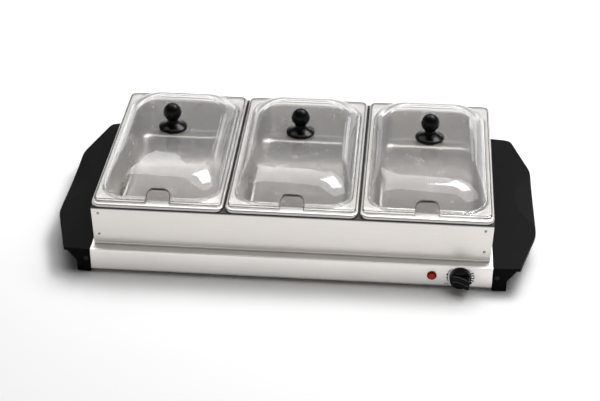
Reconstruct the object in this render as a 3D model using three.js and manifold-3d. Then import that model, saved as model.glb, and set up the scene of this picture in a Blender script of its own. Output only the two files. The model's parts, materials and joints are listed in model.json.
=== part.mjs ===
// Electric buffet server: a warming tray between two moulded end caps, a rack that stands on the
// tray, and three lidded steel pans that hang in the rack.
// Millimetres. +X runs along the row of pans to the right, +Y to the back, +Z up. The origin is on
// the table, under the middle of the whole server.

import * as THREE from "three";
import { mergeVertices } from "three/addons/utils/BufferGeometryUtils.js";
import Module from "manifold-3d";

const wasm = await Module();
wasm.setup();

// Clearances shared by all pieces
const seatGap = 0.3; // between a piece and what carries it
const overrun = 2; // how far a cut runs past the faces it opens
const weldSize = 0.001; // points closer than this are one point

// Facet counts
const cornerSteps = 2; // half the facets of a pan's or lid's rounded corner
const bendSteps = 2; // facets of a fold in sheet metal
const turnedFacets = 16; // facets round a turned piece
const smallFacets = 10; // facets round a screw, stud or hole
const wireFacets = 6; // facets round a wire
const elementFacets = 8; // facets round the heating element
const scoopFacets = 72; // facets round the cone that scoops the finger grips

// Warming tray
const trayEndMargin = 1.7; // from the rack's end to the tray's
const trayLedge = 16.25; // width of the ledge in front of the rack and behind it
const trayHeight = 34;
const tableClearance = 4; // from the table to the tray's lower edge
const traySheet = 0.8;
const trayBend = 3;
const trayLip = 12; // width of the tray's turned-in lower lips

// Bottom cover
const coverSheet = 0.8;
const coverMargin = 5; // from the tray's outer faces to the cover's edge
const coverCorner = 8;
const ventLength = 44;
const ventWidth = 4;
const ventPitch = 16;
const ventCount = 6; // slots in each of the two rows
const ventRowShare = 0.62; // place of a row, as a share of the cover's half length

// End caps
const capProud = 0.5; // how far a cap stands out past the tray's front and back
const capFootWidth = 20;
const capFootWall = 3;
const capEndWall = 5;
const capFloor = 4; // thickness of a foot's sole
const wingThickness = 3;
const wingLipDrop = 2; // how far the wing's rim hangs below its plate
const wingLipWidth = 2.5;
const wingReach = 63; // widest reach of a wing beyond the tray
const wingRearReach = 62;
const wingFrontReach = 38;
const wingFrontSweep = 3;
const wingBackReach = 35;
const wingBackSweep = 4;
const wingFrontShare = 0.25; // front end of the long edge, as a share of the cap's depth
const wingRearShare = 0.735; // back end of the long edge
const wingBackCorner = 9;
const wingSmallCorner = 2;
const flareStart = 17; // height on the foot where it starts to flare out to the wing
const flareReach = 34; // how far out the flare meets the wing
const footLength = 44; // length of each foot along the cap
const archRise = 9; // height of the arch between a cap's two feet
const ribThickness = 2;
const ribReachShare = 0.8; // how far a rib runs from the flare to the wing's lip
const ribShares = [0.14, 0.22, 0.78, 0.86]; // places of the ribs along the cap
const scoopRadius = 108; // the finger scoop is part of a cone's foot
const scoopDepth = 2.5; // its depth at the wing's edge
const scoopWidth = 27; // its width at the middle
const scoopBack = 6; // its middle lies this far behind the tray's middle

// Foot pads
const padRadius = 7;
const padProud = 1; // how far a pad stands out below the foot
const padSunk = 2; // how deep its recess is
const padChamfer = 0.6;

// End brackets and cap screws
const bracketSheet = 1.2;
const bracketInset = 3; // from the tray's end to the bracket's plate
const bracketEar = 15; // length of the ears welded to the tray's walls
const bracketTab = 15; // reach of the tabs into the caps
const tabWidth = 16;
const screwReach = 6; // from the cap's inner edge to the screw
const screwHeight = 22;
const screwRadius = 1.7;
const screwLength = 10;
const screwHeadRadius = 3.6;
const screwHeadHeight = 1.8;
const screwSlotWidth = 0.9;
const screwTipShare = 0.6; // radius of the tip, as a share of the screw's
const screwTaperShare = 0.85; // where the taper starts, as a share of the length
const screwHeadShares = [[1, 0.6], [0.7, 1]]; // the head's edge, as shares of its radius and height
const screwSlotShares = [0.6, 0.4]; // half length and floor of the slot
const counterboreDepth = 2.4;

// Heater under the tray's top
const spreaderEndMargin = 31.7; // from the tray's end to the heat spreader
const spreaderSideMargin = 26.75; // from the tray's front and back to it
const spreaderThickness = 1.5;
const spreaderCorner = 12;
const elementRadius = 3.2;
const elementRuns = 4;
const elementEndMargin = 5.8; // from the heat shield's wall to the element's turns
const elementSideMargin = 35; // from the shield's wall to the middle of an outer run
const elementTurnSteps = 6;
const elementTail = 6; // straight stretch before the element turns down
const elementTailBend = 10;
const elementTip = 14; // height of the element's cold ends
const clampCount = 3;
const clampPitch = 120;
const clampWidth = 12;
const clampSheet = 1;
const clampFoot = 12;
const clampMargin = 7; // from the shield's wall to the end of a clamp strap
const shieldInset = 5; // from the spreader's edge to the shield's rim
const shieldRim = 11;
const shieldSheet = 0.8;
const shieldDrop = 11; // depth of the heat shield
const shieldSlope = 3;
const shieldCorner = 20;
const shieldHoleRadius = 5;

// Thermostat and its knob
const knobSetback = 44.2; // from the tray's end to the knob's axis
const knobHeight = 21.7;
const knobRadius = 15.6;
const knobBarrel = 9.5; // from the tray's front to the barrel's face
const knobReach = 21; // from the tray's front to the grip's high end
const knobRunning = 0.6; // gap between the knob and the tray
const knobDraft = 0.7; // how much narrower the barrel is at its face
const knobEdge = 0.8;
const knobHollow = 12;
const knobWeb = 3; // thickness of the barrel's face
const gripWidth = 15;
const gripTail = 13; // from the centre to the grip's low end
const gripKnee = 5.5; // from the centre to where the grip starts to rise
const gripNose = 12.5; // from the centre to the grip's high end
const gripLedge = 1.8; // how far the low end stands above the barrel
const gripTurn = THREE.MathUtils.degToRad(-5); // the setting it stands at
const spindleRadius = 3;
const spindleFlat = 2; // from the axis to the flat
const spindleFlatStart = 6;
const spindleOut = 10.5;
const spindleIn = 11;
const bushRadius = 4.5;
const bushOut = 4.2;
const nutAcross = 13;
const nutThickness = 3;
const thermostatWidth = 28;
const thermostatHeight = 23;
const thermostatDepth = 17;
const thermostatCorner = 2.5;
const terminalTagWidth = 5;
const terminalTagThickness = 0.8;
const terminalTagLength = 6;
const terminalTagPitch = 14;

// Pilot lamp
const lampSetback = 39.5; // from the knob's axis to the lamp's
const lampHeight = 22;
const lensRadius = 6.8;
const lensFlange = 1;
const lensCrown = 2.4;
const lensShares = [[1, 0], [0.86, 0.5], [0.6, 0.85], [0.3, 1], [0, 1]]; // radius and height
const lensStemRadius = 4.9;
const lensStemLength = 12;
const neonRadius = 3;
const neonLength = 14;
const neonShoulderShare = 0.6; // of its radius
const clipRadius = 8.5;
const clipThickness = 0.7;

// Thermal fuse under the heat shield
const fuseSetback = 56; // from the element's cold ends to the fuse, along the tray
const fuseAside = 45; // and from the outer run towards the front
const fuseRadius = 2.2;
const fuseLength = 11;
const fuseTipRadius = 0.9;
const fuseTipLength = 3;
const strapSheet = 0.6;
const strapWidth = 6;
const strapFoot = 6;

// Mains inlet at the back
const inletSetback = 45.7; // from the tray's end to the inlet's axis
const inletHeight = 18;
const grommetProud = 2.5;
const grommetFlange = 9;
const grommetNeck = 6.7;
const grommetBore = 3.6;
const grommetChamfer = 0.8;
const blockLength = 36;
const blockDepth = 18;
const blockHeight = 14;
const blockSetback = 25; // from the tray's back wall to the terminal block
const blockWays = 3;
const blockPitch = 11;
const blockWayRadius = 2;
const blockScrewRadius = 1.8;
const blockScrewDepth = 5;
const blockCorner = 1.5;
const blockWayShare = 0.45; // height of the ways, as a share of the block's

// Wires
const wireRadius = 1.1;
const wireLift = 7; // height of the wires that run over the cover
const wireBend = 4;
const wireLead = 9; // straight stretch of a wire where it leaves a terminal

// Pan rack
const rackEndInset = 0.25; // from the outer pans' rims to the rack's ends
const rackSideInset = 0.6; // from the pans' rims to the rack's front and back
const rackHeight = 59.7;
const rackTaper = 2; // how far each side leans in at the foot
const rackSheet = 0.8;
const rackBend = 1.5;
const rackWallDepth = 2; // from the rack's end to the end of the long panels' flanges
const rackFlange = 12;
const rackSideFlange = 6.5;
const rackFoot = 2.2; // width of the turned-out foot of the front and back panels
const rackCornerTab = 20; // width of the welded tabs behind the front and back panels
const rackTabTrim = 3; // how far a tab stops short of the panel's edges
const crossbarWidth = 14;
const crossbarDrop = 10;

// Pans
const panCount = 3;
const panGap = 2.3;
const panRimWidth = 185.3;
const panRimDepth = 334.2;
const panRimHeight = 5;
const panRimCorner = 12;
const panRimEdge = 1.4;
const panRimTuck = 1.3; // how far the rolled rim turns in at its foot
const panSideFlange = 9;
const panEndFlange = 17.5;
const panDepth = 61.3;
const panSheet = 0.7;
const panDraft = 6; // how much each wall leans in on its way down
const panCorner = 35;
const panEntry = 2.5; // radius where the wall turns into the rim
const panFloorRadius = 15;
const panFloorShare = 0.5; // place of the ring half way round the floor's radius

// Lids
const lidSideInset = 2.8; // from the pan's rim edge to the lid's edge
const lidEndInset = 8.8;
const lidWall = 2;
const lidSkirt = 1.8; // how far the lid's edge turns down below its flange
const lidSkirtWidth = 2.2;
const lidCorner = 9;
const lidInnerCorner = 36;
const lidFit = 1.2; // between the lid's locating lip and the pan's wall
const lidLip = 3; // how far the lip reaches into the pan
const domeRise = 28.6;
const domeShoulderX = 18; // how far the dome draws in at its shoulder, across the pan
const domeShoulderY = 44; // and along it
const domeCornerGrowth = 26; // how much longer the corners get towards the shoulder
const domeInsetShares = [0, 0.08, 0.35, 0.62, 1];
const domeRiseShares = [0, 0.12, 0.55, 0.8, 0.92];
const crownHalfShare = 0.55; // half sizes of the crown's middle ring, as a share of the shoulder's
const crownRiseShare = 0.975;
const seatRadius = 23; // flat seat under the knob
const seatCornerShare = 0.98;
const notchWidth = 33;
const notchRise = 7.8; // above the lid's flange
const notchCorner = 8;

// Lid knobs and their screws
const lidKnobFlange = 20.9;
const lidKnobHeight = 40;
const lidKnobBall = 13.5;
const lidKnobNeck = 7.8;
const lidKnobFoot = 19.4;
const lidKnobShares = [0.04, 0.1, 0.14, 0.19, 0.25, 0.31, 0.36]; // heights up the skirt
const lidKnobSpreadShares = [1, 1, 0.78, 0.46, 0.16, 0, 0]; // from the neck's radius to the flange's
const ballSteps = 5;
const studRadius = 2;
const studLength = 14;
const studHeadRadius = 4.4;
const studHeadHeight = 2.6;
const studHeadShares = [0.75, 0.4]; // radius of the head's face, and height of its edge
const washerRadius = 7;
const washerThickness = 1.2;

// Levels and places that follow from the sizes above
const panPitch = panRimWidth + panGap;
const rackLength = panCount * panPitch - panGap - 2 * rackEndInset;
const rackDepth = panRimDepth - 2 * rackSideInset;
const trayLength = rackLength + 2 * trayEndMargin;
const trayDepth = rackDepth + 2 * trayLedge;
const trayTop = tableClearance + trayHeight;
const trayUnderside = trayTop - traySheet;
const rackBottom = trayTop + seatGap;
const rackTop = rackBottom + rackHeight;
const panRimBottom = rackTop + seatGap;
const panRimTop = panRimBottom + panRimHeight;
const panOpenX = panRimWidth / 2 - panSideFlange;
const panOpenY = panRimDepth / 2 - panEndFlange;
const lidSkirtBottom = panRimTop + seatGap;
const lidFlangeBottom = lidSkirtBottom + lidSkirt;
const lidFlangeTop = lidFlangeBottom + lidWall;
const lidTop = lidFlangeTop + domeRise;
const lidBaseX = panOpenX - lidFit;
const lidBaseY = panOpenY - lidFit;
const knobPlace = trayLength / 2 - knobSetback;
const lampPlace = knobPlace - lampSetback;
const inletPlace = trayLength / 2 - inletSetback;
const capInner = trayLength / 2 + seatGap;
const capHalfDepth = trayDepth / 2 + capProud;
const spreaderLength = trayLength - 2 * spreaderEndMargin;
const spreaderDepth = trayDepth - 2 * spreaderSideMargin;
const spreaderBottom = trayUnderside - seatGap - spreaderThickness;
const elementHeight = spreaderBottom - seatGap - elementRadius;
const shieldLength = spreaderLength - 2 * (shieldInset + shieldRim);
const shieldDepth = spreaderDepth - 2 * (shieldInset + shieldRim);
const shieldTop = spreaderBottom - seatGap;
const shieldFloor = shieldTop - shieldDrop;
const coverTop = tableClearance - seatGap;
const wallInside = trayDepth / 2 - traySheet;
const blockBack = wallInside - blockSetback - blockDepth / 2;
const coldEnd = shieldDepth / 2 - elementSideMargin;
const elementPitch = (2 * coldEnd) / (elementRuns - 1);
const elementHalfRun = shieldLength / 2 - elementEndMargin - elementRadius - elementPitch / 2;
const elementEnd = elementHalfRun + elementTail + elementTailBend; // where its cold ends turn down
const clampReach = shieldDepth / 2 - clampMargin;
const fusePlace = elementEnd - fuseSetback;
const fuseBack = coldEnd - fuseAside;

// Finishes
const finish = (color, roughness, metalness) =>
  new THREE.MeshStandardMaterial({ color, roughness, metalness });
const brushedSteel = finish(0xc9c5c1, 0.38, 1);
const polishedSteel = finish(0xd2d0cd, 0.2, 1);
const zincSteel = finish(0xa9acb0, 0.45, 1);
const blackenedSteel = finish(0x1d1d1f, 0.5, 1);
const aluminium = finish(0xb9babc, 0.4, 1);
const elementSheath = finish(0x5f5a55, 0.55, 1);
const blackPlastic = finish(0x17181a, 0.5, 0);
const glossBlack = finish(0x0b0b0c, 0.12, 0);
const rubber = finish(0x202022, 0.85, 0);
const redLens = finish(0xb0201a, 0.15, 0);
const clearPlastic = new THREE.MeshStandardMaterial({
  color: 0xe9eded,
  roughness: 0.08,
  metalness: 0,
  transparent: true,
  opacity: 0.3,
});
const whiteCeramic = finish(0xd9d6cf, 0.6, 0);
const wireCover = finish(0x8f2f28, 0.6, 0);
const neonGlass = finish(0xe8c8a8, 0.1, 0);

// Closed solids, joined and cut

function solidOf(geometry) {
  const bare = new THREE.BufferGeometry();
  bare.setAttribute("position", geometry.getAttribute("position"));
  bare.setIndex(geometry.getIndex());
  const merged = mergeVertices(bare, weldSize);
  const corners = merged.getIndex().array;
  const kept = [];
  for (let i = 0; i < corners.length; i += 3) {
    const [a, b, c] = corners.subarray(i, i + 3);
    if (a !== b && b !== c && c !== a) kept.push(a, b, c);
  }
  return new wasm.Manifold(
    new wasm.Mesh({
      numProp: 3,
      vertProperties: merged.getAttribute("position").array,
      triVerts: new Uint32Array(kept),
    }),
  );
}

function geometryOf(solid) {
  const mesh = solid.getMesh();
  const geometry = new THREE.BufferGeometry();
  geometry.setAttribute("position", new THREE.BufferAttribute(mesh.vertProperties, mesh.numProp));
  geometry.setIndex(new THREE.BufferAttribute(mesh.triVerts, 1));
  geometry.computeVertexNormals();
  return geometry;
}

function join(...geometries) {
  return geometryOf(geometries.map(solidOf).reduce((whole, next) => whole.add(next)));
}

function cut(geometry, ...tools) {
  const start = solidOf(geometry);
  return geometryOf(tools.map(solidOf).reduce((rest, tool) => rest.subtract(tool), start));
}

function overlapOf(first, second) {
  return geometryOf(solidOf(first).intersect(solidOf(second)));
}

// Extrusions and revolutions

function extrude(shape, depth, curveSegments) {
  return new THREE.ExtrudeGeometry(shape, { depth, bevelEnabled: false, curveSegments });
}

// A plan outline (X, Y) carried up from one height to another.
function risen(shape, bottom, top, curveSegments = smallFacets) {
  return extrude(shape, top - bottom, curveSegments).translate(0, 0, bottom);
}

// A side outline (Y, Z) carried along X from one place to another.
function alongX(shape, start, end, curveSegments = smallFacets) {
  const turn = new THREE.Matrix4().makeBasis(
    new THREE.Vector3(0, 1, 0),
    new THREE.Vector3(0, 0, 1),
    new THREE.Vector3(1, 0, 0),
  );
  return extrude(shape, end - start, curveSegments).applyMatrix4(turn).translate(start, 0, 0);
}

// A front outline (X, Z) carried along Y from one place to another.
function alongY(shape, start, end, curveSegments = smallFacets) {
  const turn = new THREE.Matrix4().makeBasis(
    new THREE.Vector3(1, 0, 0),
    new THREE.Vector3(0, 0, 1),
    new THREE.Vector3(0, -1, 0),
  );
  return extrude(shape, end - start, curveSegments).applyMatrix4(turn).translate(0, end, 0);
}

// A profile of (radius, height) pairs, listed upwards on the outside, turned about Z.
function turned(profile, facets = turnedFacets) {
  const points = profile.map(([radius, height]) => new THREE.Vector2(radius, height));
  return new THREE.LatheGeometry(points, facets).rotateX(Math.PI / 2);
}

function rod(radius, bottom, top, facets = smallFacets) {
  return turned([[0, bottom], [radius, bottom], [radius, top], [0, top]], facets);
}

// A rod along Y whose axis stands at (x, z).
function rodAlongY(radius, x, z, start, end, facets = smallFacets) {
  return rod(radius, start, end, facets).rotateX(-Math.PI / 2).translate(x, 0, z);
}

// Outlines

function polygon(pairs) {
  return new THREE.Shape(pairs.map(([a, b]) => new THREE.Vector2(a, b)));
}

function rectangle(left, right, low, high) {
  return polygon([[left, low], [right, low], [right, high], [left, high]]);
}

// A rectangle about the origin whose corners are arcs, as a closed path.
function softRectangle(halfX, halfY, corner) {
  const shape = new THREE.Shape();
  shape.absarc(halfX - corner, halfY - corner, corner, 0, Math.PI / 2);
  shape.absarc(corner - halfX, halfY - corner, corner, Math.PI / 2, Math.PI);
  shape.absarc(corner - halfX, corner - halfY, corner, Math.PI, Math.PI * 1.5);
  shape.absarc(halfX - corner, corner - halfY, corner, Math.PI * 1.5, Math.PI * 2);
  return shape;
}

// A polygon whose corners are rounded; each corner is [x, y, radius].
function roundedPolygon(corners) {
  const places = corners.map(([x, y]) => new THREE.Vector2(x, y));
  const shape = new THREE.Shape();
  corners.forEach(([, , radius], i) => {
    const here = places[i];
    const before = places.at(i - 1).clone().sub(here).setLength(radius).add(here);
    const after = places[(i + 1) % places.length].clone().sub(here).setLength(radius).add(here);
    if (i === 0) shape.moveTo(before.x, before.y);
    else shape.lineTo(before.x, before.y);
    shape.quadraticCurveTo(here.x, here.y, after.x, after.y);
  });
  return shape;
}

// Points of a line moved sideways by a distance, to its left where the distance is positive.
function shifted(points, distance) {
  return points.map((point, i) => {
    const into = point.clone().sub(points[Math.max(i - 1, 0)]);
    const out = points[Math.min(i + 1, points.length - 1)].clone().sub(point);
    if (i === 0) into.copy(out);
    if (i === points.length - 1) out.copy(into);
    into.normalize();
    out.normalize();
    const middle = into.clone().add(out).normalize();
    const reach = distance / middle.dot(into);
    return new THREE.Vector2(point.x - middle.y * reach, point.y + middle.x * reach);
  });
}

// The section of folded sheet: a line of folds, given by its corners, with a bend radius and
// the sheet's thickness laid half on each side of the line.
function foldedSheet(corners, bend, thickness) {
  const places = corners.map(([a, b]) => new THREE.Vector2(a, b));
  const line = [places[0]];
  for (let i = 1; i < places.length - 1; i++) {
    const before = places[i - 1].clone().sub(places[i]).setLength(bend).add(places[i]);
    const after = places[i + 1].clone().sub(places[i]).setLength(bend).add(places[i]);
    line.push(...new THREE.QuadraticBezierCurve(before, places[i], after).getPoints(bendSteps));
  }
  line.push(places.at(-1));
  return new THREE.Shape([...shifted(line, -thickness / 2), ...shifted(line, thickness / 2).reverse()]);
}

// Lofts: rings of equal point counts, from a cap that faces up, by way of the walls, to a cap
// that faces down.

function ring(halfX, halfY, cornerX, cornerY, height) {
  const path = new THREE.Path();
  path.absellipse(halfX - cornerX, halfY - cornerY, cornerX, cornerY, 0, Math.PI / 2);
  path.absellipse(cornerX - halfX, halfY - cornerY, cornerX, cornerY, Math.PI / 2, Math.PI);
  path.absellipse(cornerX - halfX, cornerY - halfY, cornerX, cornerY, Math.PI, Math.PI * 1.5);
  path.absellipse(halfX - cornerX, cornerY - halfY, cornerX, cornerY, Math.PI * 1.5, Math.PI * 2);
  return path.getPoints(cornerSteps).map((p) => new THREE.Vector3(p.x, p.y, height));
}

function loft(rings) {
  const count = rings[0].length;
  const index = [];
  for (let level = 0; level < rings.length - 1; level++) {
    for (let i = 0; i < count; i++) {
      const here = level * count + i;
      const next = level * count + ((i + 1) % count);
      index.push(here, here + count, next + count, here, next + count, next);
    }
  }
  const plan = rings[0].map((point) => new THREE.Vector2(point.x, point.y));
  const last = (rings.length - 1) * count;
  for (const [a, b, c] of THREE.ShapeUtils.triangulateShape(plan, [])) {
    index.push(a, b, c, last + a, last + c, last + b);
  }
  return new THREE.BufferGeometry().setFromPoints(rings.flat()).setIndex(index);
}

// Tubes: a route of straight steps from stop to stop, with the section turned half way at each.

class Route extends THREE.Curve {
  constructor(stops) {
    super();
    this.stops = stops;
  }

  getPoint(t, target = new THREE.Vector3()) {
    const place = Math.min(Math.max(t, 0), 1) * (this.stops.length - 1);
    const from = Math.min(Math.floor(place), this.stops.length - 2);
    return target.lerpVectors(this.stops[from], this.stops[from + 1], place - from);
  }

  getUtoTmapping(u) {
    return u;
  }
}

function tube(stops, radius, facets) {
  const section = new THREE.Shape();
  section.absarc(0, 0, radius, 0, Math.PI * 2);
  return new THREE.ExtrudeGeometry(section, {
    steps: stops.length - 1,
    curveSegments: facets / 2,
    extrudePath: new Route(stops),
  });
}

// A wire that runs straight from place to place and bends at each.
function wire(places) {
  const corners = places.map((corner) => new THREE.Vector3(...corner));
  const stops = [corners[0]];
  for (let i = 1; i < corners.length - 1; i++) {
    const before = corners[i - 1].clone().sub(corners[i]).setLength(wireBend).add(corners[i]);
    const after = corners[i + 1].clone().sub(corners[i]).setLength(wireBend).add(corners[i]);
    stops.push(...new THREE.QuadraticBezierCurve3(before, corners[i], after).getPoints(bendSteps));
  }
  return tube([...stops, corners.at(-1)], wireRadius, wireFacets);
}

// Warming tray

function warmingTray() {
  const side = trayDepth / 2 - traySheet / 2;
  const low = tableClearance + traySheet / 2;
  const high = trayTop - traySheet / 2;
  const lipEnd = side - trayLip;
  const section = foldedSheet(
    [[lipEnd, low], [side, low], [side, high], [-side, high], [-side, low], [-lipEnd, low]],
    trayBend,
    traySheet,
  );
  const front = -trayDepth / 2 - overrun;
  const back = trayDepth / 2 + overrun;
  return cut(
    alongX(section, -trayLength / 2, trayLength / 2),
    rodAlongY(bushRadius + seatGap, knobPlace, knobHeight, front, overrun - wallInside, turnedFacets),
    rodAlongY(lensStemRadius + seatGap, lampPlace, lampHeight, front, overrun - wallInside, turnedFacets),
    rodAlongY(grommetNeck + seatGap, inletPlace, inletHeight, wallInside - overrun, back, turnedFacets),
  );
}

function bottomCover() {
  const plate = softRectangle(trayLength / 2 - coverMargin, trayDepth / 2 - coverMargin, coverCorner);
  const end = ventWidth / 2;
  const reach = ventLength / 2 - end;
  for (const side of [-1, 1]) {
    const row = side * ventRowShare * (trayLength / 2 - coverMargin);
    for (let i = 0; i < ventCount; i++) {
      const place = (i - (ventCount - 1) / 2) * ventPitch;
      const slot = new THREE.Path();
      slot.absarc(row + reach, place, end, -Math.PI / 2, Math.PI / 2);
      slot.absarc(row - reach, place, end, Math.PI / 2, Math.PI * 1.5);
      plate.holes.push(slot);
    }
  }
  return risen(plate, coverTop - coverSheet, coverTop, bendSteps);
}

// End caps, drawn for the right end

// The wing's outline, drawn in by a distance.
function wingOutline(inset) {
  const front = -capHalfDepth;
  const back = capHalfDepth;
  const depth = back - front;
  const corners = [
    [capInner, front, wingSmallCorner],
    [capInner + wingFrontReach, front + wingFrontSweep, wingSmallCorner],
    [capInner + wingReach, front + wingFrontShare * depth, wingBackCorner],
    [capInner + wingRearReach, front + wingRearShare * depth, wingBackCorner],
    [capInner + wingBackReach, back - wingBackSweep, wingBackCorner],
    [capInner, back, wingSmallCorner],
  ];
  const places = corners.map(([x, y]) => new THREE.Vector2(x, y));
  const loop = shifted([places.at(-1), ...places, places[0]], inset).slice(1, -1);
  return roundedPolygon(loop.map((point, i) => [point.x, point.y, corners[i][2]]));
}

// The foot's front outline, drawn in from its outer side, floor and top by a wall each.
function flaredFoot(inner, wall, floor, top) {
  const out = capInner + capFootWidth - wall;
  return polygon([
    [inner, padProud + floor],
    [out, padProud + floor],
    [out, flareStart + floor],
    [capInner + flareReach - wall, top],
    [inner, top],
  ]);
}

function gripScoop() {
  const centre = capInner + wingReach - scoopWidth + scoopRadius;
  const slope = scoopDepth / scoopWidth;
  const low = trayTop - slope * scoopRadius;
  const high = trayTop + overrun;
  const rim = scoopRadius + overrun / slope;
  return turned([[0, low], [rim, high], [0, high]], scoopFacets).translate(centre, scoopBack, 0);
}

function capRib(place) {
  const plateBottom = trayTop - wingThickness;
  const flareOut = capInner + flareReach;
  const end = flareOut + ribReachShare * (wingReach - wingLipWidth - flareReach);
  const web = polygon([
    [capInner + capFootWidth, flareStart + capFloor],
    [end, plateBottom - wingLipDrop],
    [end, plateBottom + seatGap],
    [flareOut - capFootWall, plateBottom + seatGap],
    [capInner + capFootWidth - seatGap, flareStart + capFloor],
  ]);
  const middle = (place - 1 / 2) * 2 * capHalfDepth;
  return alongY(web, middle - ribThickness / 2, middle + ribThickness / 2);
}

function endCap() {
  const outline = wingOutline(0);
  const plateBottom = trayTop - wingThickness;
  const lipBottom = plateBottom - wingLipDrop;
  const inside = capHalfDepth - capEndWall;
  const outside = risen(outline, 0, trayTop, bendSteps);
  const wing = cut(
    risen(outline, lipBottom, trayTop, bendSteps),
    risen(wingOutline(wingLipWidth), lipBottom - overrun, plateBottom, bendSteps),
  );
  const foot = cut(
    alongY(flaredFoot(capInner, 0, 0, plateBottom + seatGap), -capHalfDepth, capHalfDepth),
    alongY(flaredFoot(capInner - overrun, capFootWall, capFloor, plateBottom), -inside, inside),
  );
  const archHalf = capHalfDepth - footLength;
  const arch = polygon([
    [-archHalf - archRise, -overrun],
    [archHalf + archRise, -overrun],
    [archHalf, padProud + archRise],
    [-archHalf, padProud + archRise],
  ]);
  const ribs = ribShares.map(capRib);
  const screwX = capInner + screwReach;
  const holes = [-1, 1].flatMap((side) => {
    const face = side * capHalfDepth;
    const through = [face - side * (capEndWall + overrun), face + side * overrun].sort((a, b) => a - b);
    const seat = [face - side * counterboreDepth, face + side * overrun].sort((a, b) => a - b);
    return [
      rodAlongY(screwRadius + seatGap, screwX, screwHeight, ...through),
      rodAlongY(screwHeadRadius + seatGap, screwX, screwHeight, ...seat),
    ];
  });
  const recesses = padPlaces().map(([x, y]) =>
    rod(padRadius + seatGap, padProud - overrun, padProud + padSunk, turnedFacets).translate(x, y, 0),
  );
  return cut(
    overlapOf(join(wing, foot, ...ribs), outside),
    alongX(arch, capInner - overrun, capInner + capFootWidth + overrun),
    gripScoop(),
    ...holes,
    ...recesses,
  );
}

// Places of the right cap's two foot pads.
function padPlaces() {
  const x = capInner + capFootWidth / 2;
  const y = capHalfDepth - footLength / 2;
  return [[x, -y], [x, y]];
}

function footPad() {
  const top = padProud + padSunk - seatGap;
  return turned([
    [0, 0],
    [padRadius - padChamfer, 0],
    [padRadius, padChamfer],
    [padRadius, top],
    [0, top],
  ]);
}

// End bracket for the right end: ears along the tray's walls, a plate across its end and a tab
// into each foot for the cap's screws.
function endBracket() {
  const wall = wallInside - seatGap - bracketSheet / 2;
  const plate = trayLength / 2 - bracketInset - bracketSheet / 2;
  const ears = foldedSheet(
    [[plate - bracketEar, -wall], [plate, -wall], [plate, wall], [plate - bracketEar, wall]],
    bracketSheet,
    bracketSheet,
  );
  const low = tableClearance + traySheet + trayBend;
  const high = trayUnderside - trayBend;
  const tabOut = capHalfDepth - capEndWall - seatGap;
  const tabs = [-1, 1].map((side) => {
    const faces = [side * tabOut, side * (tabOut - bracketSheet)].sort((a, b) => a - b);
    const tab = rectangle(plate, plate + bracketTab, screwHeight - tabWidth / 2, screwHeight + tabWidth / 2);
    return alongY(tab, ...faces);
  });
  const holes = [-1, 1].map((side) => {
    const span = [side * (tabOut + overrun), side * (tabOut - bracketSheet - overrun)];
    span.sort((a, b) => a - b);
    return rodAlongY(screwRadius + seatGap, capInner + screwReach, screwHeight, ...span);
  });
  return cut(join(risen(ears, low, high), ...tabs), ...holes);
}

// A cap screw, head outwards along +Z, its head's underside at height 0.
function capScrew() {
  const round = turned(
    [
      [0, -screwLength],
      [screwRadius * screwTipShare, -screwLength],
      [screwRadius, -screwLength * screwTaperShare],
      [screwRadius, 0],
      [screwHeadRadius, 0],
      ...screwHeadShares.map(([out, up]) => [screwHeadRadius * out, screwHeadHeight * up]),
      [0, screwHeadHeight],
    ],
    smallFacets,
  );
  const [lengthShare, floorShare] = screwSlotShares;
  const reach = screwHeadRadius * lengthShare;
  const slot = rectangle(-reach, reach, -screwSlotWidth / 2, screwSlotWidth / 2);
  return cut(round, risen(slot, screwHeadHeight * floorShare, screwHeadHeight + overrun));
}

// Heater

function heatSpreader() {
  const plate = softRectangle(spreaderLength / 2, spreaderDepth / 2, spreaderCorner);
  return risen(plate, spreaderBottom, spreaderBottom + spreaderThickness, bendSteps);
}

function elementRoute() {
  const radius = elementPitch / 2;
  const tail = (y) => {
    const bend = [];
    for (let i = 0; i <= bendSteps; i++) {
      const angle = (i / bendSteps) * (Math.PI / 2);
      bend.push(
        new THREE.Vector3(
          elementEnd - elementTailBend + elementTailBend * Math.sin(angle),
          y,
          elementHeight - elementTailBend * (1 - Math.cos(angle)),
        ),
      );
    }
    return [...bend, new THREE.Vector3(elementEnd, y, elementTip)];
  };
  const stops = tail(-coldEnd).reverse();
  for (let run = 0; run < elementRuns - 1; run++) {
    const side = run % 2 === 0 ? -1 : 1;
    const middle = (run + 1 / 2) * elementPitch - coldEnd;
    for (let i = 0; i <= elementTurnSteps; i++) {
      const angle = (i / elementTurnSteps) * Math.PI;
      stops.push(
        new THREE.Vector3(
          side * (elementHalfRun + radius * Math.sin(angle)),
          middle - radius * Math.cos(angle),
          elementHeight,
        ),
      );
    }
  }
  return [...stops, ...tail(coldEnd)];
}

function heatingElement() {
  return tube(elementRoute(), elementRadius, elementFacets);
}

function elementClamp() {
  const foot = shieldTop - clampSheet / 2;
  const strap = elementHeight - elementRadius - seatGap - clampSheet / 2;
  const knee = clampReach - clampFoot;
  const section = foldedSheet(
    [[-clampReach, foot], [-knee, foot], [-knee, strap], [knee, strap], [knee, foot], [clampReach, foot]],
    clampSheet,
    clampSheet,
  );
  return alongX(section, -clampWidth / 2, clampWidth / 2);
}

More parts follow.
